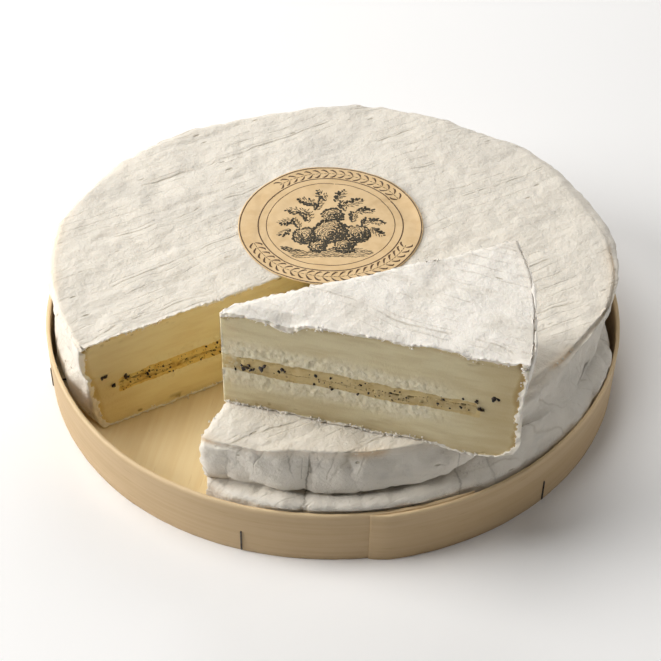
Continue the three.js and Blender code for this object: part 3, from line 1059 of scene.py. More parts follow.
def cut_face(shape, end, reach, height, depths):
    """Outward push and colour masks at points of a cut face."""
    seed = shape["seed"] + 60 + 10 * end
    layer_low, layer_high, layer_reach = shape["layer"]
    place = as_points(reach, height)
    top_depth, bottom_depth, side_depth = depths
    upper_shift, lower_shift = layer_edges(reach, seed + 5)
    above = height - (layer_high + upper_shift)
    below = (layer_low + lower_shift) - height
    outside = np.maximum(above, below)
    past_end = reach - layer_reach - 1.2 * field(place, 3.5, seed)
    in_slot = (1 - fade(-1.5, -0.9, outside)) * (1 - fade(-2.0, -1.0, past_end))
    in_slot = in_slot * fade(3.5, 6.5, reach)
    filled = (1 - fade(-0.7, 0.9, outside)) * (1 - fade(-1.0, 2.0, past_end))
    filled = filled * (0.5 + 0.5 * fade(4, 10, reach))
    inner = 1 - fade(layer_reach - 20, layer_reach - 3, reach)
    patch = 0.5 + 0.5 * rough_field(as_points(reach, height * 1.8), 8, seed + 1)
    from_layer = np.abs(outside) + 4 * (patch - 0.5)
    chalky = (1 - fade(shape["chalk"] * 0.35, shape["chalk"], from_layer)) * inner
    chalky = np.clip(chalky * (0.45 + patch), 0, 1) * (outside > -0.3)
    crumb = rough_field(place, 1.3, seed + 2)
    pits = (fade(0.35, 0.8, field(as_points(reach, height * 1.6), 3.0, seed + 3))
            * fade(0.2, 0.9, field(place, 1.2, seed + 4) + 0.5))
    drag = field(as_points(reach * 0.12, height), 0.9, seed + 6)
    push = (0.35 * field(place, 22, seed + 7) * fade(0.0, 4.0, outside)
            + 0.05 * drag * (1 - chalky) + chalky * (0.3 * crumb - 0.4 * pits) - LAYER_SINK * in_slot)
    lips = []
    for side_name, depth, along in (("top", top_depth, reach), ("bottom", bottom_depth, reach),
                                    ("side", side_depth, height)):
        ragged = (0.5 * field(as_points(along, 7.0), 3.2, seed + 8)
                  + 0.35 * field(as_points(along, 9.0), 1.1, seed + 9))
        thick = RIND_THICKNESS[side_name] * (1 + ragged)
        if side_name == "top":
            thick = thick * 0.8 + shape["lobes"](end, reach)
        lips.append(1 - fade(thick - 0.3, thick + 0.3, depth))
    lip = np.maximum.reduce(lips)
    raised = 0.35 + 0.4 * field(place, 1.3, seed + 11) + 0.2 * field(place, 0.7, seed + 12)
    push = push * (1 - lip) + lip * raised
    ripe = np.maximum.reduce([
        (1 - fade(1.6, shape["ripe"], side_depth + 0.8 * field(place, 4, seed + 13))),
        shape["aged"] * (1 - fade(6, 22, side_depth + 3 * field(place, 12, seed + 16))),
        0.45 * (1 - fade(0.5, 2.6, top_depth + 0.8 * field(place, 4, seed + 14))),
        0.4 * (1 - fade(0.5, 4.5, bottom_depth + 1.5 * field(place, 6, seed + 15))),
    ])
    corner = (1 - fade(1.5, 4.5, side_depth)) * (1 - fade(1.2, 6.0, top_depth))
    edge_depth = np.minimum(top_depth, bottom_depth)
    # Painted shade: dark dots just inside the top and bottom edges stand for the shade under the rind's
    # lip. The corner's brown above is the paste's own colour.
    lip_shade_dots = fade(0.5, 0.85, field(as_points(reach * 0.6, height), 1.3, seed + 17))
    lip_shade_dots = lip_shade_dots * (1 - fade(1.2, 4.5, edge_depth))
    lip_shade_dots = lip_shade_dots * fade(0.0, 0.5, field(as_points(reach, 0.0), 8, seed + 18))
    browned = np.clip(0.85 * corner + 0.8 * lip_shade_dots, 0, 1) * (1 - lip)
    values = (lip, ripe * (1 - lip), browned, chalky * (1 - lip), filled)
    return push, dict(zip(FACE_MASKS, values))


# %% [markdown]
# ## The round
#
# The round lies in the box, with the gap towards the front left. Its underside is flat on the base,
# so nothing there needs relief.

# %% The round
WHEEL_LAYER_LOW, WHEEL_LAYER_HIGH = cad_box("wheel_truffle_layer")
SLICE_LAYER_LOW, SLICE_LAYER_HIGH = cad_box("slice_truffle_layer")


STAPLE_ROOM = 1.3
HOOP_CLEARANCE = 0.35
OVERHANG = 9.0


def no_settling(x, y, direction, reach, along):
    return np.zeros_like(x)


def inside_hoop(direction, height):
    """The box holds the cheese in: it may press on the hoop, and bulge over it, but not pass it."""
    wire = STAPLE_ROOM * (1 - fade(10.5, 14.0, height))
    over = OVERHANG * fade(HOOP_HIGH[2] + 0.3, HOOP_HIGH[2] + 5.0, height)
    return hoop_inside(direction) - HOOP_CLEARANCE - wire + over


def no_limit(direction, height):
    return np.full_like(height, 1000.0)


def wheel_lobes(end, reach):
    return 0.6 * fade(0.1, 0.8, field(as_points(reach, 3.0 + end), 7, 90))


wheel_shape = {
    "radius": WHEEL_RADIUS, "low": WHEEL_LOW[2], "high": WHEEL_HIGH[2], "foot": 7.0,
    "apex": np.zeros(2), "start": GAP_END, "end": GAP_START + 360, "stations": WHEEL_STATIONS,
    "seed": 100, "creases": WHEEL_CREASES, "top_relief": top_relief, "settle": no_settling,
    "fold_tint": 0.5, "chalk": 5.0, "ripe": 5.0, "aged": 0.3, "lobes": wheel_lobes, "limit": inside_hoop,
    "edge_tint": 0.9, "lower_tint": 0.0, "face": cut_face,
    "layer": (WHEEL_LAYER_LOW[2], WHEEL_LAYER_HIGH[2], WHEEL_LAYER_HIGH[0]),
}
WHEEL_COUNTS = (330, 20, 45, 100, 10, 2, 2)
wheel = cut_cheese("cheese_round", wheel_shape, WHEEL_COUNTS, [wheel_rind, wheel_paste])
finish_piece(wheel, "wheel_cheese")

# %% [markdown]
# ## The slice
#
# The slice is the same cheese turned and lifted on to the round. Its own weight moulds its underside
# to what it lies on, and the part that overhangs the round's edge droops a little. The rind on top
# rolls over the cut in a few lobes.

# %% The slice
# Distance along the near cut, and height above the table of the lower edge of the rind's lip
SLICE_LIP = np.array([
    (0.0, 81.0), (9.6, 81.0), (14.3, 80.9), (17.0, 79.8), (19.5, 78.9), (22.5, 78.6), (25.0, 79.9),
    (27.5, 81.8), (34.0, 82.8), (43.1, 82.6), (52.1, 83.1), (58.0, 82.3), (65.5, 83.9), (74.5, 83.3),
    (77.7, 81.9), (83.4, 82.2), (90.3, 82.3), (92.5, 83.6), (95.0, 84.6)])


def slice_hang(reach):
    """How far the lip of the top rind hangs over the near cut, along it."""
    return SLICE_HIGH[2] - np.interp(reach, SLICE_LIP[:, 0], SLICE_LIP[:, 1])


def slice_roll(reach):
    """How far the top rind's own surface sinks at the near cut, as part of the hang."""
    return 0.62 * slice_hang(reach) - 0.3


def slice_settle(x, y, direction, reach, along):
    """The underside takes the shape of its bed and droops past it; the top rolls at both cuts."""
    wheel_reach = np.hypot(x, y)
    bed = top_relief(x, y) * (1 - fade(86, 93, wheel_reach))
    droop = -2.4 * fade(90, 101, wheel_reach) * (1 - 0.8 * fade(78, 93, reach))
    under = 1 - fade(1.0, 1.5, along)
    near_cut = np.radians(direction - SLICE_START) * reach
    far_cut = np.radians(SLICE_END - direction) * reach
    roll = -slice_roll(reach) * (1 - fade(0, 3.2, near_cut)) - 0.8 * (1 - fade(0, 2.5, far_cut))
    return (bed + droop) * under + roll * fade(1.9, 2.05, along)


def slice_top_relief(x, y):
    return 0.8 * top_relief(x + 40, y - 25, seed=70, turn=math.radians(-24))


def slice_lobes(end, reach):
    return (0.38 * slice_hang(reach) - 0.3).clip(0, 2.4) if end == 0 else wheel_lobes(end, reach)


slice_shape = {
    "radius": SLICE_RADIUS, "low": SLICE_LOW[2], "high": SLICE_HIGH[2], "foot": 7.0,
    "apex": SLICE_TIP, "start": SLICE_START, "end": SLICE_END - 1.4, "stations": SLICE_STATIONS,
    "seed": 200, "creases": (), "top_relief": slice_top_relief, "settle": slice_settle,
    "fold_tint": 0.1, "chalk": 8.5, "ripe": 4.5, "aged": 0.42, "lobes": slice_lobes, "limit": no_limit,
    "edge_tint": 0.3, "lower_tint": 0.2, "face": cut_face,
    "layer": (SLICE_LAYER_LOW[2], SLICE_LAYER_HIGH[2], SLICE_LAYER_HIGH[0] - SLICE_TIP[0]),
}
SLICE_COUNTS = (70, 28, 55, 140, 10, 2, 2)
slice_piece = cut_cheese("cheese_slice", slice_shape, SLICE_COUNTS, [slice_rind, slice_paste])
finish_piece(slice_piece, "slice_cheese")

# %% [markdown]
# ## The truffle layers
#
# The filling is spread on one half of the cheese before the other is laid on it, so it is a flat
# disc with soft edges. It is swept like the cheese, with its own two cut faces just proud of the
# slot, and grainy where the knife tore it.

# %% The truffle layers
# One station all round makes a disc with a plain round side: no tiers and no fold
LAYER_STATIONS = np.array([(-180, 0.0, 0.0, 3.2, 0.0, 3.3, 3.4, 2.0, 0.0)])
LAYER_PROUD = 0.06


def layer_face(shape, end, reach, height, depths):
    """Outward push and empty colour masks at points of a cut through the filling."""
    seed = shape["seed"] + 10 * end
    place = as_points(reach, height)
    grain = rough_field(place, 2.2, seed)
    tucked = 0.1 * fade(0.0, 0.6, reach) + 0.8 * fade(0.5, 5.0, reach)
    tucked = (1 - fade(4.5, 7.5, reach)) * tucked
    pits = fade(0.4, 0.8, field(place, 1.5, seed + 5))
    push = LAYER_PROUD - tucked + 0.08 * grain + 0.05 * field(place, 6, seed + 3) - 0.1 * pits
    push = push - 0.25 * (1 - fade(0, 1.2, np.minimum.reduce(depths)))
    return push, {key: np.zeros_like(reach) for key in FACE_MASKS}


def truffle_layer(name, node, cheese, counts, finish):
    low, high, reach = cheese["layer"]

    def ripple(x, y, direction, distance, along):
        upper, lower = layer_edges(distance, cheese["seed"] + 65)
        return upper * fade(1.5, 2.0, along) + lower * (1 - fade(1.0, 1.5, along))

    shape = dict(cheese)
    shape.update({
        "radius": reach, "low": low, "high": high, "foot": 2.0, "stations": LAYER_STATIONS,
        "creases": (), "top_relief": lambda x, y: np.zeros_like(x), "settle": ripple,
        "fold_tint": 0.0, "edge_tint": 0.0, "lower_tint": 0.0, "limit": no_limit,
        "face": layer_face, "seed": cheese["seed"] + 300})
    piece = cut_cheese(name, shape, counts, [finish, finish])
    return finish_piece(piece, node)


truffle_layer("truffle_layer_round", "wheel_truffle_layer", wheel_shape,
              (120, 24, 6, 24, 8, 2, 8), wheel_truffle)
truffle_layer("truffle_layer_slice", "slice_truffle_layer", slice_shape,
              (30, 26, 8, 26, 10, 2, 10), slice_truffle)

# %% [markdown]
# ## The hoop
#
# The hoop is one strip of veneer, 22 mm wide, steamed, bent round the base and glued where its outer
# end laps over its inner one. Both ends are planed thin. It could be a lathe ring, but a ring has no
# lap, so it is a small section with rounded corners, carried along the strip. The strip's own length
# and height are kept as its map, so that the grain runs round the box.

# %% Section of the hoop
def scarf(distance):
    """How much the strip's inner face is planed away near its inner end."""
    return (VENEER - SCARF_EDGE) * (1 - np.clip(distance / SCARF_SPAN, 0, 1))


def veneer_section(height):
    """Corners of the strip's section, as share of its thickness and height, going round."""
    inside, outside = [], []
    for share in (0.0, 0.25, 0.7):
        inside.append((0.22 * (1 - share), EDGE_ROUND * share))
        outside.append((1 - 0.22 * (1 - share), EDGE_ROUND * share))
    rise = np.linspace(EDGE_ROUND, height - EDGE_ROUND, 12)
    right = outside + [(1.0, z) for z in rise] + [(x, height - z) for x, z in outside[::-1]]
    left = inside + [(0.0, z) for z in rise] + [(x, height - z) for x, z in inside[::-1]]
    return np.array(right + left[::-1])


def build_hoop():
    travel_end = 360 + LAP_SPAN
    travel = np.concatenate([
        np.linspace(0, SCARF_SPAN, 12)[:-1], np.linspace(SCARF_SPAN, travel_end - SCARF_SPAN, 420),
        np.linspace(travel_end - SCARF_SPAN, travel_end, 12)[1:]])
    section = veneer_section(HOOP_HIGH[2])
    direction = LAP_ANGLE - travel
    arc = np.radians(travel) * BOX_RADIUS
    thinned = 1 - np.clip((travel_end - travel) / SCARF_SPAN, 0, 1)
    inner = strip_inside(travel) + scarf(travel) - 0.25 * thinned
    outer = strip_inside(travel) + VENEER - (VENEER + 0.12) * thinned ** 1.5
    share, height = section[:, 0], section[:, 1]
    reach = inner[:, None] + (outer - inner)[:, None] * share[None]
    level = np.broadcast_to(height, reach.shape).copy()
    rimness = fade(HOOP_HIGH[2] - 1.2, HOOP_HIGH[2], level)
    fibres = (field(as_points(arc[:, None], share[None] * 3), 2.2, 401)
              + 0.6 * field(as_points(arc[:, None], share[None] * 5), 0.8, 402))
    level += rimness * (0.1 * fibres + 0.16 * field(as_points(arc[:, None], 0.0), 30, 403) - 0.16)
    reach += 0.05 * field(as_points(arc[:, None], level * 0.6), 3, 404)
    x, y = polar(reach, direction[:, None])
    rows, columns = reach.shape
    index = np.arange(rows * columns).reshape(rows, columns)
    wrapped = np.concatenate([index, index[:, :1]], axis=1)
    around = [wrapped[:-1, :-1], wrapped[:-1, 1:], wrapped[1:, 1:], wrapped[1:, :-1]]
    quads = np.stack(around, -1).reshape(-1, 4)
    faces = quads.tolist() + [index[0, ::-1].tolist(), index[-1].tolist()]
    piece = new_object("hoop", as_points(x, y, level).reshape(-1, 3), faces, [hoop_wood])
    mark_points(piece.data, "raw_edge", 0.75 * rimness)
    strip_map = piece.data.uv_layers.new(name="strip")
    place = np.stack([np.broadcast_to(arc[:, None], reach.shape), level + share * 30], -1)
    place = place.reshape(-1, 2) * MM
    corners = np.empty(len(piece.data.loops), int)
    piece.data.loops.foreach_get("vertex_index", corners)
    strip_map.data.foreach_set("uv", place[corners].ravel())
    return piece


def face_outwards(piece):
    """Turns the whole skin round if its faces point inwards."""
    mesh = piece.data
    mesh.calc_loop_triangles()
    corners = np.array([triangle.vertices for triangle in mesh.loop_triangles])
    points = np.array([vertex.co for vertex in mesh.vertices])
    a, b, c = points[corners[:, 0]], points[corners[:, 1]], points[corners[:, 2]]
    volume = np.einsum("ij,ij->i", a, np.cross(b, c)).sum() / 6
    if volume < 0:
        mesh.flip_normals()
    return abs(volume) / MM ** 3


hoop = build_hoop()
print("hoop: %.0f mm3 of veneer" % face_outwards(hoop))
finish_piece(hoop, "box_hoop")

# %% [markdown]
# ## The base
#
# The base is a thin round board. Its edge follows the inside of the hoop, a hair smaller, and its
# corners are slightly broken by the saw. Rings of points from the middle below, round the edge, to the
# middle above are enough, because the top is flat and its grain is left to the finish.

# %% The base board
BASE_GAP = 0.3
BASE_CORNER = 0.25


def planed_inside(direction):
    """The strip's inner face with its planed end, which the board's edge follows."""
    travel = (LAP_ANGLE - direction) % 360
    return strip_inside(travel) + scarf(travel)


def build_base():
    sides = 240
    direction = LAP_ANGLE - np.arange(sides) * 360 / sides
    sawn = 0.05 * field(as_points(*polar(BOX_RADIUS, direction)), 2, 411)
    edge = planed_inside(direction) - BASE_GAP + sawn
    top, soft = BASE_HIGH[2], BASE_CORNER
    profile = [(share, 0.0, 0.0) for share in (0.3, 0.6, 0.9)] + [(1.0, -soft, 0.0), (1.0, 0.0, soft)]
    profile += [(1.0, 0.0, top - soft), (1.0, -soft, top)]
    profile += [(share, 0.0, top) for share in (0.9, 0.6, 0.3)]
    points = [np.array([[0.0, 0.0, 0.0], [0.0, 0.0, top]])]
    for share, shift, height in profile:
        x, y = polar(edge * share + shift, direction)
        points.append(as_points(x, y, height))
    index = 2 + np.arange(len(profile) * sides).reshape(len(profile), sides)
    following = np.roll(index, -1, axis=1)
    quads = np.stack([index[:-1], following[:-1], following[1:], index[1:]], -1).reshape(-1, 4).tolist()
    fans = [[0, int(following[0, i]), int(index[0, i])] for i in range(sides)]
    fans += [[1, int(index[-1, i]), int(following[-1, i])] for i in range(sides)]
    piece = new_object("base_board", np.concatenate(points), quads + fans, [base_wood])
    mark_points(piece.data, "raw_edge", np.zeros(len(piece.data.vertices)))
    return piece


base_board = build_base()
print("base: %.0f mm3 of board" % face_outwards(base_board))
finish_piece(base_board, "box_base")

# %% [markdown]
# ## The staples
#
# Each staple is a wire bent over the bottom corner: it goes in through the hoop, comes out, runs
# down the outside and under the base, and comes up through the base. Both ends are bent over. The
# bends repeat six times, so one node tree draws the path from a few sizes and sweeps the wire.

# %% Node tree for a bent wire
def geometry_tree(name, inputs):
    tree = bpy.data.node_groups.new(name, "GeometryNodeTree")
    tree.interface.new_socket("Geometry", in_out="INPUT", socket_type="NodeSocketGeometry")
    for socket_name, kind in inputs:
        tree.interface.new_socket(socket_name, in_out="INPUT", socket_type=kind)
    tree.interface.new_socket("Geometry", in_out="OUTPUT", socket_type="NodeSocketGeometry")
    return tree, tree.nodes.new("NodeGroupInput").outputs, tree.nodes.new("NodeGroupOutput").inputs


def run_through(tree, socket, *nodes):
    """Links a shape through nodes in turn: it goes in and comes out at each node's first socket."""
    for node in nodes:
        put(tree, node.inputs[0], socket)
        socket = node.outputs[0]
    return socket


def end_tree(tree, given, result, shape):
    """Ends a tree in real geometry with its finish on it."""
    realize = tree.nodes.new("GeometryNodeRealizeInstances")
    finish = tree.nodes.new("GeometryNodeSetMaterial")
    put(tree, finish.inputs["Material"], given["Finish"])
    put(tree, result["Geometry"], run_through(tree, shape, realize, finish))


def grow(name, tree, start_mesh, values):
    """Runs a node tree on a mesh and keeps the result as a plain mesh."""
    holder = bpy.data.objects.new(name + "_seed", start_mesh)
    bpy.context.scene.collection.objects.link(holder)
    modifier = holder.modifiers.new("grow", "NODES")
    modifier.node_group = tree
    for item in tree.interface.items_tree:
        if item.item_type == "SOCKET" and item.in_out == "INPUT" and item.name in values:
            modifier[item.identifier] = values[item.name]
    graph = bpy.context.evaluated_depsgraph_get()
    mesh = bpy.data.meshes.new_from_object(holder.evaluated_get(graph))
    mesh.name = name
    bpy.data.objects.remove(holder)
    piece = bpy.data.objects.new(name, mesh)
    bpy.context.scene.collection.objects.link(piece)
    return piece


wire_tree, given, result = geometry_tree("bent_wire", [
    ("Wire Radius", "NodeSocketFloat"), ("Bend Radius", "NodeSocketFloat"),
    ("Finish", "NodeSocketMaterial")])
to_curve = wire_tree.nodes.new("GeometryNodeMeshToCurve")
bends = wire_tree.nodes.new("GeometryNodeFilletCurve")
ring = wire_tree.nodes.new("GeometryNodeCurvePrimitiveCircle")
sweep = wire_tree.nodes.new("GeometryNodeCurveToMesh")
smooth = wire_tree.nodes.new("GeometryNodeSetShadeSmooth")
bends.mode = "POLY"
bends.inputs["Count"].default_value = 6
bends.inputs["Limit Radius"].default_value = True
ring.inputs["Resolution"].default_value = 12
sweep.inputs["Fill Caps"].default_value = True
put(wire_tree, bends.inputs["Radius"], given["Bend Radius"])
put(wire_tree, ring.inputs["Radius"], given["Wire Radius"])
put(wire_tree, sweep.inputs["Profile Curve"], ring.outputs["Curve"])
wire = run_through(wire_tree, given["Geometry"], to_curve, bends, sweep, smooth)
end_tree(wire_tree, given, result, wire)
print("node tree:", wire_tree.name)

# %% The staples
WIRE = 0.65
BEND = 0.75
CLINCH = 2.6
STAPLES = 6


def staple_path(number):
    """Corners of the wire's centre line, from the node of this staple."""
    corners = cad_points("staple_%d" % number)
    middle = corners.mean(axis=0)
    direction = math.degrees(math.atan2(middle[1], middle[0]))
    reach = np.hypot(corners[:, 0], corners[:, 1])
    half = WIRE / 2
    outside = reach.max() - half
    through = reach.min() + half
    top = corners[:, 2].max() - half
    inside_points = corners[(reach < outside - 0.5) & (corners[:, 2] > top - 2.0)]
    inside = np.hypot(inside_points[:, 0], inside_points[:, 1]).min() + half
    on_base = corners[reach < through + 1.0][:, 2].max() - half
    beside_hoop = np.abs(reach - inside) < half + 0.05
    clinched = corners[beside_hoop & (corners[:, 2] > on_base + 1.0)]
    runs = [(inside, clinched[:, 2].min()), (inside, top), (outside, top), (outside, half),
            (through, half), (through, on_base), (through + CLINCH, on_base)]
    return np.array([(*polar(distance, direction), height) for distance, height in runs])


for number in range(1, STAPLES + 1):
    path = staple_path(number)
    line = bpy.data.meshes.new("staple_line")
    line.from_pydata((path * MM).tolist(), [(i, i + 1) for i in range(len(path) - 1)], [])
    staple = grow("wire_staple_%d" % number, wire_tree, line,
                  {"Wire Radius": WIRE / 2 * MM, "Bend Radius": BEND * MM, "Finish": staple_wire})
    finish_piece(staple, "staple_%d" % number)
print("staple path, first:", path.round(1).tolist())

# %% [markdown]
# ## The label
#
# The label is a disc of thin tan paper laid on the felt, so it follows the slow swells under it and
# skips the small ones. Its edge lifts a little here and there. Its print is two kinds of thing:
# plain rings, and an engraving made of short strokes, here a still life of truffles between two
# sprays of leaves, with garlands round it. Strokes drawn as real ribbons of ink stay sharp at any
# distance, where a painted picture would blur.

# %% The label's paper
LABEL_CENTRE = (LABEL_LOW[:2] + LABEL_HIGH[:2]) / 2
LABEL_RADIUS = (LABEL_HIGH[0] - LABEL_LOW[0]) / 2
PAPER = 0.18
PAPER_GAP = 0.12
PAPER_STIFF = 3.5


def label_height(x, y):
    """Height of the paper's top above the table: stiff paper rests on the high spots around."""
    around = (0, 0), (PAPER_STIFF, 0), (-PAPER_STIFF, 0), (0, PAPER_STIFF), (0, -PAPER_STIFF)
    under = np.max([top_relief(x + dx, y + dy) for dx, dy in around], axis=0)
    reach = np.hypot(x - LABEL_CENTRE[0], y - LABEL_CENTRE[1]) / LABEL_RADIUS
    lift = 0.5 * fade(0.9, 1.02, reach) * fade(0.1, 0.8, field(as_points(x, y), 17, 501))
    return WHEEL_HIGH[2] + PAPER_GAP + PAPER + under + lift


def build_label():
    sides, rings = 180, 60
    reach = LABEL_RADIUS * np.linspace(0, 1, rings + 1)[1:]
    direction = np.arange(sides) * 360 / sides
    x, y = polar(reach[:, None], direction[None])
    x, y = x + LABEL_CENTRE[0], y + LABEL_CENTRE[1]
    upper = as_points(x, y, label_height(x, y)).reshape(-1, 3)
    lower = upper - np.array([0, 0, PAPER])
    centre = np.array([[*LABEL_CENTRE, label_height(*LABEL_CENTRE)]])
    points = np.concatenate([centre, centre - np.array([[0, 0, PAPER]]), upper, lower])
    count = rings * sides
    top = 2 + np.arange(count).reshape(rings, sides)
    low = top + count

    def sheet(index, flip):
        following = np.roll(index, -1, axis=1)
        quads = np.stack([index[:-1], index[1:], following[1:], following[:-1]], -1).reshape(-1, 4)
        return (quads[:, ::-1] if flip else quads).tolist()

    faces = sheet(top, False) + sheet(low, True)
    for i in range(sides):
        j = (i + 1) % sides
        faces.append([0, int(top[0, i]), int(top[0, j])])
        faces.append([1, int(low[0, j]), int(low[0, i])])
        faces.append([int(top[-1, j]), int(top[-1, i]), int(low[-1, i]), int(low[-1, j])])
    return new_object("paper_label", points, faces, [label_paper])


paper_label = build_label()
print("label: %.0f mm3 of paper" % face_outwards(paper_label))
finish_piece(paper_label, "label")

# %% [markdown]
# The engraving starts as a drawing in light and dark: each stroke looks up how dark the drawing is
# where it lies, and is that wide. Leaves take slanting strokes on both sides of their rib, truffles
# take strokes that run round them, and the ground takes level ones. Coordinates run from -1 to 1
# across the label.

# %% The drawing
# Leaves of one spray: centre, direction in degrees, half length and half width. The other spray is
# its mirror.
LEAVES = (
    (-0.10, 0.47, 115, 0.13, 0.055), (-0.25, 0.36, 150, 0.14, 0.06), (-0.13, 0.30, 75, 0.11, 0.05),
    (-0.37, 0.22, 170, 0.14, 0.06), (-0.25, 0.13, 95, 0.12, 0.055), (-0.48, 0.04, 195, 0.12, 0.055),
    (-0.37, 0.02, 110, 0.11, 0.05), (-0.50, -0.14, 220, 0.11, 0.05))
# Truffles: centre and radius
TRUFFLES = (
    (0.02, 0.12, 0.13), (-0.27, -0.20, 0.145), (0.28, -0.18, 0.15), (0.0, -0.14, 0.20),
    (-0.13, -0.38, 0.105), (0.15, -0.38, 0.12))
PICTURE_REACH = 0.66
STROKE_PITCH = 0.021
STROKE_LENGTH = 0.034
STROKE_POINTS = 4


def drawing(u, v):
    """Darkness from 0 to 1 and stroke direction in radians."""
    shadow = (v < -0.42 + 0.04 * np.sin(9 * u)) & (v > -0.56)
    dark = np.where(shadow, 0.45 + 0.3 * field(as_points(u * 2, v * 7), 0.5, 520), 0.0)
    turn = 0.15 * np.sin(9 * u)
    for side in (-1, 1):
        for x, y, degrees, length, width in LEAVES:
            lean = math.radians(degrees)
            ahead = ((side * -u - x) * math.cos(lean) + (v - y) * math.sin(lean)) / length
            aside = (-(side * -u - x) * math.sin(lean) + (v - y) * math.cos(lean)) / width
            inside = np.abs(aside) < (1 - ahead ** 2) * (1 + 0.2 * np.sin(16 * ahead))
            shade = np.where(np.abs(aside) < 0.1, 0.0, np.where(aside * side < 0, 0.95, 0.4))
            slant = lean + np.sign(aside) * 0.7
            dark = np.where(inside, shade, dark)
            turn = np.where(inside, slant if side < 0 else math.pi - slant, turn)
    for x, y, radius in TRUFFLES:
        around = np.arctan2(v - y, u - x)
        away = np.hypot(u - x, v - y) / radius * (1 + 0.04 * np.sin(8 * around + 20 * x))
        knobs = field(as_points(u, v), 0.045, 521)
        shade = 0.3 + 0.7 * fade(-0.7, 0.6, ((u - x) * 0.8 - (v - y)) / radius + 0.5 * knobs)
        dark = np.where(away < 1, np.where(away > 0.86, 1.0, shade), dark)
        turn = np.where(away < 1, around + math.pi / 2 + knobs, turn)
    return dark * (np.hypot(u, v) < PICTURE_REACH), turn


def picture_strokes(seed=11):
    """Short curved strokes: their points, and a half width for each."""
    random = np.random.default_rng(seed)
    steps = np.linspace(-PICTURE_REACH, PICTURE_REACH, int(2 * PICTURE_REACH / STROKE_PITCH))
    u, v = np.meshgrid(steps, steps)
    u = (u + random.uniform(-0.4, 0.4, u.shape) * STROKE_PITCH).ravel()
    v = (v + random.uniform(-0.4, 0.4, v.shape) * STROKE_PITCH).ravel()
    dark, turn = drawing(u, v)
    kept = dark > 0.12
    u, v, dark = u[kept], v[kept], dark[kept]
    turn = turn[kept] + random.uniform(-0.2, 0.2, kept.sum())
    steps = np.linspace(-0.5, 0.5, STROKE_POINTS)
    bend = random.uniform(-0.25, 0.25, len(u))
    along = turn[:, None] + bend[:, None] * steps
    x = u[:, None] + np.cos(along) * steps * STROKE_LENGTH
    y = v[:, None] + np.sin(along) * steps * STROKE_LENGTH
    return np.stack([x, y], -1), 0.0012 + 0.0105 * dark ** 1.3


def garland_strokes():
    """Pairs of small leaves along two arcs of the outer band, each leaf a few strokes."""
    strokes, widths = [], []
    band, leaf, stem = 0.875, 0.075, 0.045
    for first, last, count in ((32, 128, 17), (202, 334, 24)):
        for direction in np.radians(np.linspace(first, last, count)):
            for side in (-1, 1):
                along = np.linspace(0, leaf, STROKE_POINTS)
                angle = direction + along / band
                reach = band + side * (0.012 + 0.055 * np.sin(along / leaf * math.pi * 0.62))
                strokes.append(np.stack([reach * np.cos(angle), reach * np.sin(angle)], -1))
                widths.append(0.0105)
        for start in np.radians(np.linspace(first, last, count * 2)):
            angle = start + np.linspace(0, stem, STROKE_POINTS)
            strokes.append(np.stack([band * np.cos(angle), band * np.sin(angle)], -1))
            widths.append(0.004)
    return np.array(strokes), np.array(widths)


# %% Ink: a node tree that turns strokes into ribbons
ink_tree, given, result = geometry_tree("ink_ribbons", [("Finish", "NodeSocketMaterial")])
to_curve = ink_tree.nodes.new("GeometryNodeMeshToCurve")
upright_normal = ink_tree.nodes.new("GeometryNodeSetCurveNormal")
upright_normal.mode = "Z_UP"
half_width = ink_tree.nodes.new("GeometryNodeInputNamedAttribute")
half_width.inputs["Name"].default_value = "half_width"
section = ink_tree.nodes.new("GeometryNodeCurvePrimitiveQuadrilateral")
section.inputs["Width"].default_value = 2.0
section.inputs["Height"].default_value = 0.16
sweep = ink_tree.nodes.new("GeometryNodeCurveToMesh")
sweep.inputs["Fill Caps"].default_value = True
put(ink_tree, sweep.inputs["Profile Curve"], section.outputs["Curve"])
put(ink_tree, sweep.inputs["Scale"], half_width.outputs["Attribute"])
ribbons = run_through(ink_tree, given["Geometry"], to_curve, upright_normal, sweep)
end_tree(ink_tree, given, result, ribbons)
print("node tree:", ink_tree.name)


# %% Print the label
INK_LIFT = 0.014
STROKE_TAPER = (0.35, 1.0, 1.0, 0.35)


def print_ink(name, strokes, widths, finish):
    """Lays strokes on the paper. Strokes are in shares of the label's radius."""
    count = strokes.shape[1]
    x = LABEL_CENTRE[0] + LABEL_RADIUS * strokes[..., 0].ravel()
    y = LABEL_CENTRE[1] + LABEL_RADIUS * strokes[..., 1].ravel()
    points = as_points(x, y, label_height(x, y) + INK_LIFT) * MM
    first = np.arange(len(strokes))[:, None] * count + np.arange(count - 1)
    edges = np.stack([first, first + 1], -1).reshape(-1, 2)
    lines = bpy.data.meshes.new(name + "_strokes")
    lines.from_pydata(points.tolist(), edges.tolist(), [])
    taper = np.array(STROKE_TAPER) if count == STROKE_POINTS else np.ones(count)
    values = np.broadcast_to(widths, strokes.shape[:1])[:, None] * taper * LABEL_RADIUS * MM
    mark_points(lines, "half_width", values)
    piece = grow(name, ink_tree, lines, {"Finish": finish})
    finish_piece(piece, "label")
    print("%s: %d strokes, %d faces" % (name, len(strokes), len(piece.data.polygons)))
    return piece


ring_turn = np.radians(np.linspace(0, 360, 121))
ring_line = np.stack([np.cos(ring_turn), np.sin(ring_turn)], -1)
ring_reach = np.array([0.982, 0.783, 0.694])
ring_width = np.array([0.0068, 0.0068, 0.0045])
print_ink("label_rings", ring_reach[:, None, None] * ring_line, ring_width, label_ink)
print_ink("label_garland", *garland_strokes(), label_ink)
print_ink("label_picture", *picture_strokes(), picture_ink)

# %% [markdown]
# ## Truffle bits and crumbs
#
# Chopped truffle shows as black angular bits where the knife met them. Each is a lump of a few flat
# sides. The larger ones sit where they were found on the cut, and fine ones follow by rule. White
# crumbs of rind lie along the cut edges. One node tree places such lumps on given points, turned and
# stretched at random from a fixed seed, for truffle and crumbs alike.

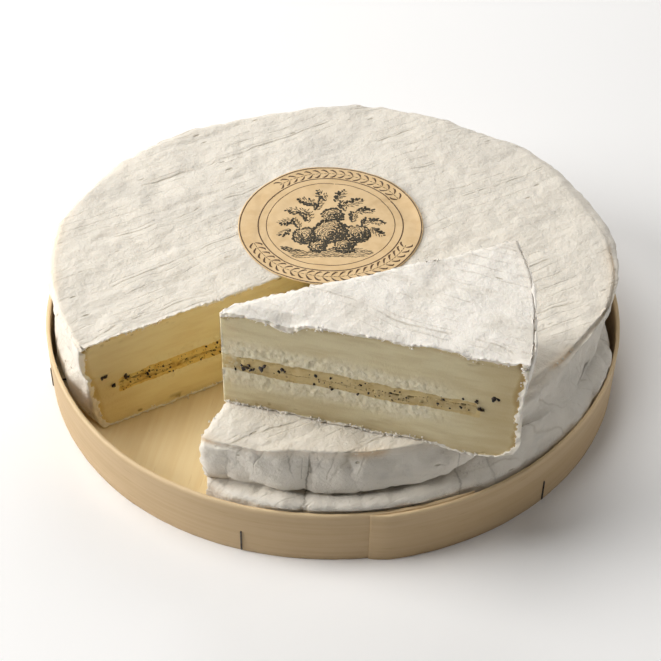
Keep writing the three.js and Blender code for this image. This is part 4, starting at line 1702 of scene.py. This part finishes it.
# %% A node tree for lumps
lump_tree, given, result = geometry_tree("scattered_lumps", [
    ("Seed", "NodeSocketInt"), ("Roughness", "NodeSocketFloat"), ("Finish", "NodeSocketMaterial")])
FULL_TURN = 6.28
LUMP_KINDS = 5


def random_vector(tree, seed, low, high, offset):
    """A random vector for each point; the offset keeps one draw apart from the next."""
    node = tree.nodes.new("FunctionNodeRandomValue")
    node.data_type = "FLOAT_VECTOR"
    node.inputs["Min"].default_value = low
    node.inputs["Max"].default_value = high
    put(tree, node.inputs["Seed"], math_node(tree, "ADD", seed, offset))
    return node.outputs["Value"]


def scale_node(tree, vector, factor):
    node = tree.nodes.new("ShaderNodeVectorMath")
    node.operation = "SCALE"
    put(tree, node.inputs[0], vector)
    put(tree, node.inputs["Scale"], factor)
    return node.outputs[0]


ball = lump_tree.nodes.new("GeometryNodeMeshIcoSphere")
ball.inputs["Radius"].default_value = 0.5
ball.inputs["Subdivisions"].default_value = 1
variants = lump_tree.nodes.new("GeometryNodeGeometryToInstance")
for number in range(LUMP_KINDS):
    jitter = random_vector(lump_tree, given["Seed"], (-0.5,) * 3, (0.5,) * 3, 10 + number)
    shaped = lump_tree.nodes.new("GeometryNodeSetPosition")
    put(lump_tree, shaped.inputs["Offset"], scale_node(lump_tree, jitter, given["Roughness"]))
    run_through(lump_tree, ball.outputs["Mesh"], shaped, variants)
size_of = lump_tree.nodes.new("GeometryNodeInputNamedAttribute")
size_of.inputs["Name"].default_value = "size"
stretch = random_vector(lump_tree, given["Seed"], (0.7, 0.7, 0.45), (1.25, 1.1, 0.8), 1)
turned = random_vector(lump_tree, given["Seed"], (0.0,) * 3, (FULL_TURN,) * 3, 2)
placed = lump_tree.nodes.new("GeometryNodeInstanceOnPoints")
placed.inputs["Pick Instance"].default_value = True
put(lump_tree, placed.inputs["Instance"], variants.outputs["Instances"])
put(lump_tree, placed.inputs["Rotation"], turned)
put(lump_tree, placed.inputs["Scale"], scale_node(lump_tree, stretch, size_of.outputs["Attribute"]))
end_tree(lump_tree, given, result, run_through(lump_tree, given["Geometry"], placed))
print("node tree:", lump_tree.name)


def scatter_lumps(name, points, sizes, seed, roughness, finish, node):
    """Lumps of the given sizes, in millimetres, centred on the points."""
    seeds = bpy.data.meshes.new(name + "_points")
    seeds.from_pydata((np.asarray(points) * MM).tolist(), [], [])
    mark_points(seeds, "size", np.asarray(sizes, np.float32) * MM)
    piece = grow(name, lump_tree, seeds, {"Seed": seed, "Roughness": roughness, "Finish": finish})
    finish_piece(piece, node)
    print("%s: %d lumps, %d faces" % (name, len(points), len(piece.data.polygons)))
    return piece


# %% Truffle bits on the two cuts
# Distance along the cut, height above the table, and size, for the bits that can be told apart
SLICE_BITS = (
    (7.0, 59.2, 1.7), (8.2, 59.9, 1.9), (9.4, 59.2, 1.8), (10.4, 59.8, 1.6), (8.8, 61.0, 1.3),
    (6.4, 60.4, 0.9), (12.8, 60.6, 2.0), (13.8, 61.9, 2.0), (19.5, 62.2, 1.7), (18.6, 61.0, 1.3),
    (20.4, 61.4, 1.0), (30.4, 62.1, 1.3), (29.9, 58.4, 1.2), (35.2, 62.5, 1.2), (35.6, 57.7, 1.1),
    (44.7, 62.0, 1.2), (43.9, 57.8, 0.9), (47.3, 59.2, 1.1), (54.2, 61.0, 1.0), (57.0, 62.2, 0.9),
    (69.0, 60.5, 1.0), (72.8, 59.5, 0.9), (76.1, 60.9, 1.1), (76.5, 64.6, 0.9), (80.8, 64.8, 1.6),
    (81.8, 61.8, 1.8), (82.6, 61.3, 1.8), (86.0, 67.2, 2.2), (87.3, 67.3, 1.9), (4.4, 58.4, 0.9))
WHEEL_BITS = (
    (89.4, 26.1, 2.4), (90.4, 26.2, 1.8), (86.5, 20.7, 2.5), (81.9, 22.9, 2.4), (81.0, 22.2, 1.6),
    (73.9, 20.4, 1.5), (73.2, 21.2, 1.1), (70.3, 20.2, 1.1), (53.5, 17.4, 1.0), (49.1, 17.8, 1.0),
    (46.0, 17.6, 1.3), (46.9, 22.6, 1.3), (51.2, 22.6, 1.2), (77.6, 19.3, 0.9), (73.1, 18.1, 0.8),
    (67.9, 21.0, 0.9), (75.4, 22.3, 0.8), (65.6, 17.2, 0.8))


BIT_PROUD = 0.12
BIT_ROUGHNESS = 0.32


def on_cut(apex, direction, along, height, outward):
    """Places on a cut face: distance along it, height, and distance out of it."""
    quarter = -math.pi / 2 if outward > 0 else math.pi / 2
    across = np.radians(direction) + quarter
    push = abs(outward)
    x, y = polar(along, direction)
    x = apex[0] + x + push * math.cos(across)
    y = apex[1] + y + push * math.sin(across)
    return as_points(x, y, height)


def specks(layer, first, last, count, seed):
    """Fine bits scattered through the filling."""
    random = np.random.default_rng(seed)
    along = random.uniform(first, last, count)
    height = random.uniform(layer[0] + 0.3, layer[1] - 0.2, count)
    return np.stack([along, height, 0.28 + 0.5 * random.random(count) ** 2.5], -1)


def truffle_bits(name, bits, apex, direction, outward, seed, node):
    """Black lumps half sunk in a cut face."""
    along, height, sizes = bits.T
    places = on_cut(apex, direction, along, height, outward)
    scatter_lumps(name, places, sizes, seed, BIT_ROUGHNESS, truffle_black, node)


wheel_bits = np.concatenate([np.array(WHEEL_BITS), specks(wheel_shape["layer"], 40, 84, 110, 21)])
slice_bits = np.concatenate([np.array(SLICE_BITS), specks(slice_shape["layer"], 2, 82, 60, 22)])
truffle_bits("truffle_bits_round", wheel_bits, np.zeros(2), GAP_START, -BIT_PROUD, 31,
             "wheel_truffle_layer")
truffle_bits("truffle_bits_slice", slice_bits, SLICE_TIP, SLICE_START, BIT_PROUD, 32,
             "slice_truffle_layer")


# %% Crumbs of rind along the cut edges
CRUMB_ROUGHNESS = 0.3
CRUMB_STRAY = 0.35


def read_points(mesh, name):
    """The numbers stored on a mesh's points under a name."""
    values = np.empty(len(mesh.vertices))
    mesh.attributes[name].data.foreach_get("value", values)
    return values


def rind_crumbs(name, piece, count, seed, finish, node):
    """Small white lumps on the ragged lip of a cut cheese's faces."""
    mesh = piece.data
    place = np.empty(len(mesh.vertices) * 3)
    mesh.vertices.foreach_get("co", place)
    shown, wear_and_painted_shade = read_points(mesh, "rind_show"), read_points(mesh, "thin_rind")
    on_lip = place.reshape(-1, 3)[((shown > 0.1) & (shown < 0.995)) | (wear_and_painted_shade > 0.45)] / MM
    random = np.random.default_rng(seed)
    chosen = on_lip[random.choice(len(on_lip), count)]
    chosen = chosen + random.normal(0, CRUMB_STRAY, chosen.shape)
    clump = fade(-0.3, 0.5, field(chosen, 5, seed))
    sizes = (0.25 + 0.75 * random.random(count) ** 2) * (0.4 + 0.8 * clump)
    return scatter_lumps(name, chosen, sizes, seed, CRUMB_ROUGHNESS, finish, node)


rind_crumbs("rind_crumbs_round", wheel, 1100, 41, wheel_rind, "wheel_cheese")
rind_crumbs("rind_crumbs_slice", slice_piece, 1300, 42, slice_rind, "slice_cheese")

# %% [markdown]
# ## Table
#
# The box stands on a plain white table.

# %% The table
TABLE_WIDTH = 8.0
bpy.ops.mesh.primitive_plane_add(size=TABLE_WIDTH, location=(0, 0, 0))
table = bpy.context.object
table.name = "table"
table.data.materials.append(new_finish("table_white", 0.7, Base_Color=linear((255, 255, 255)))[0])
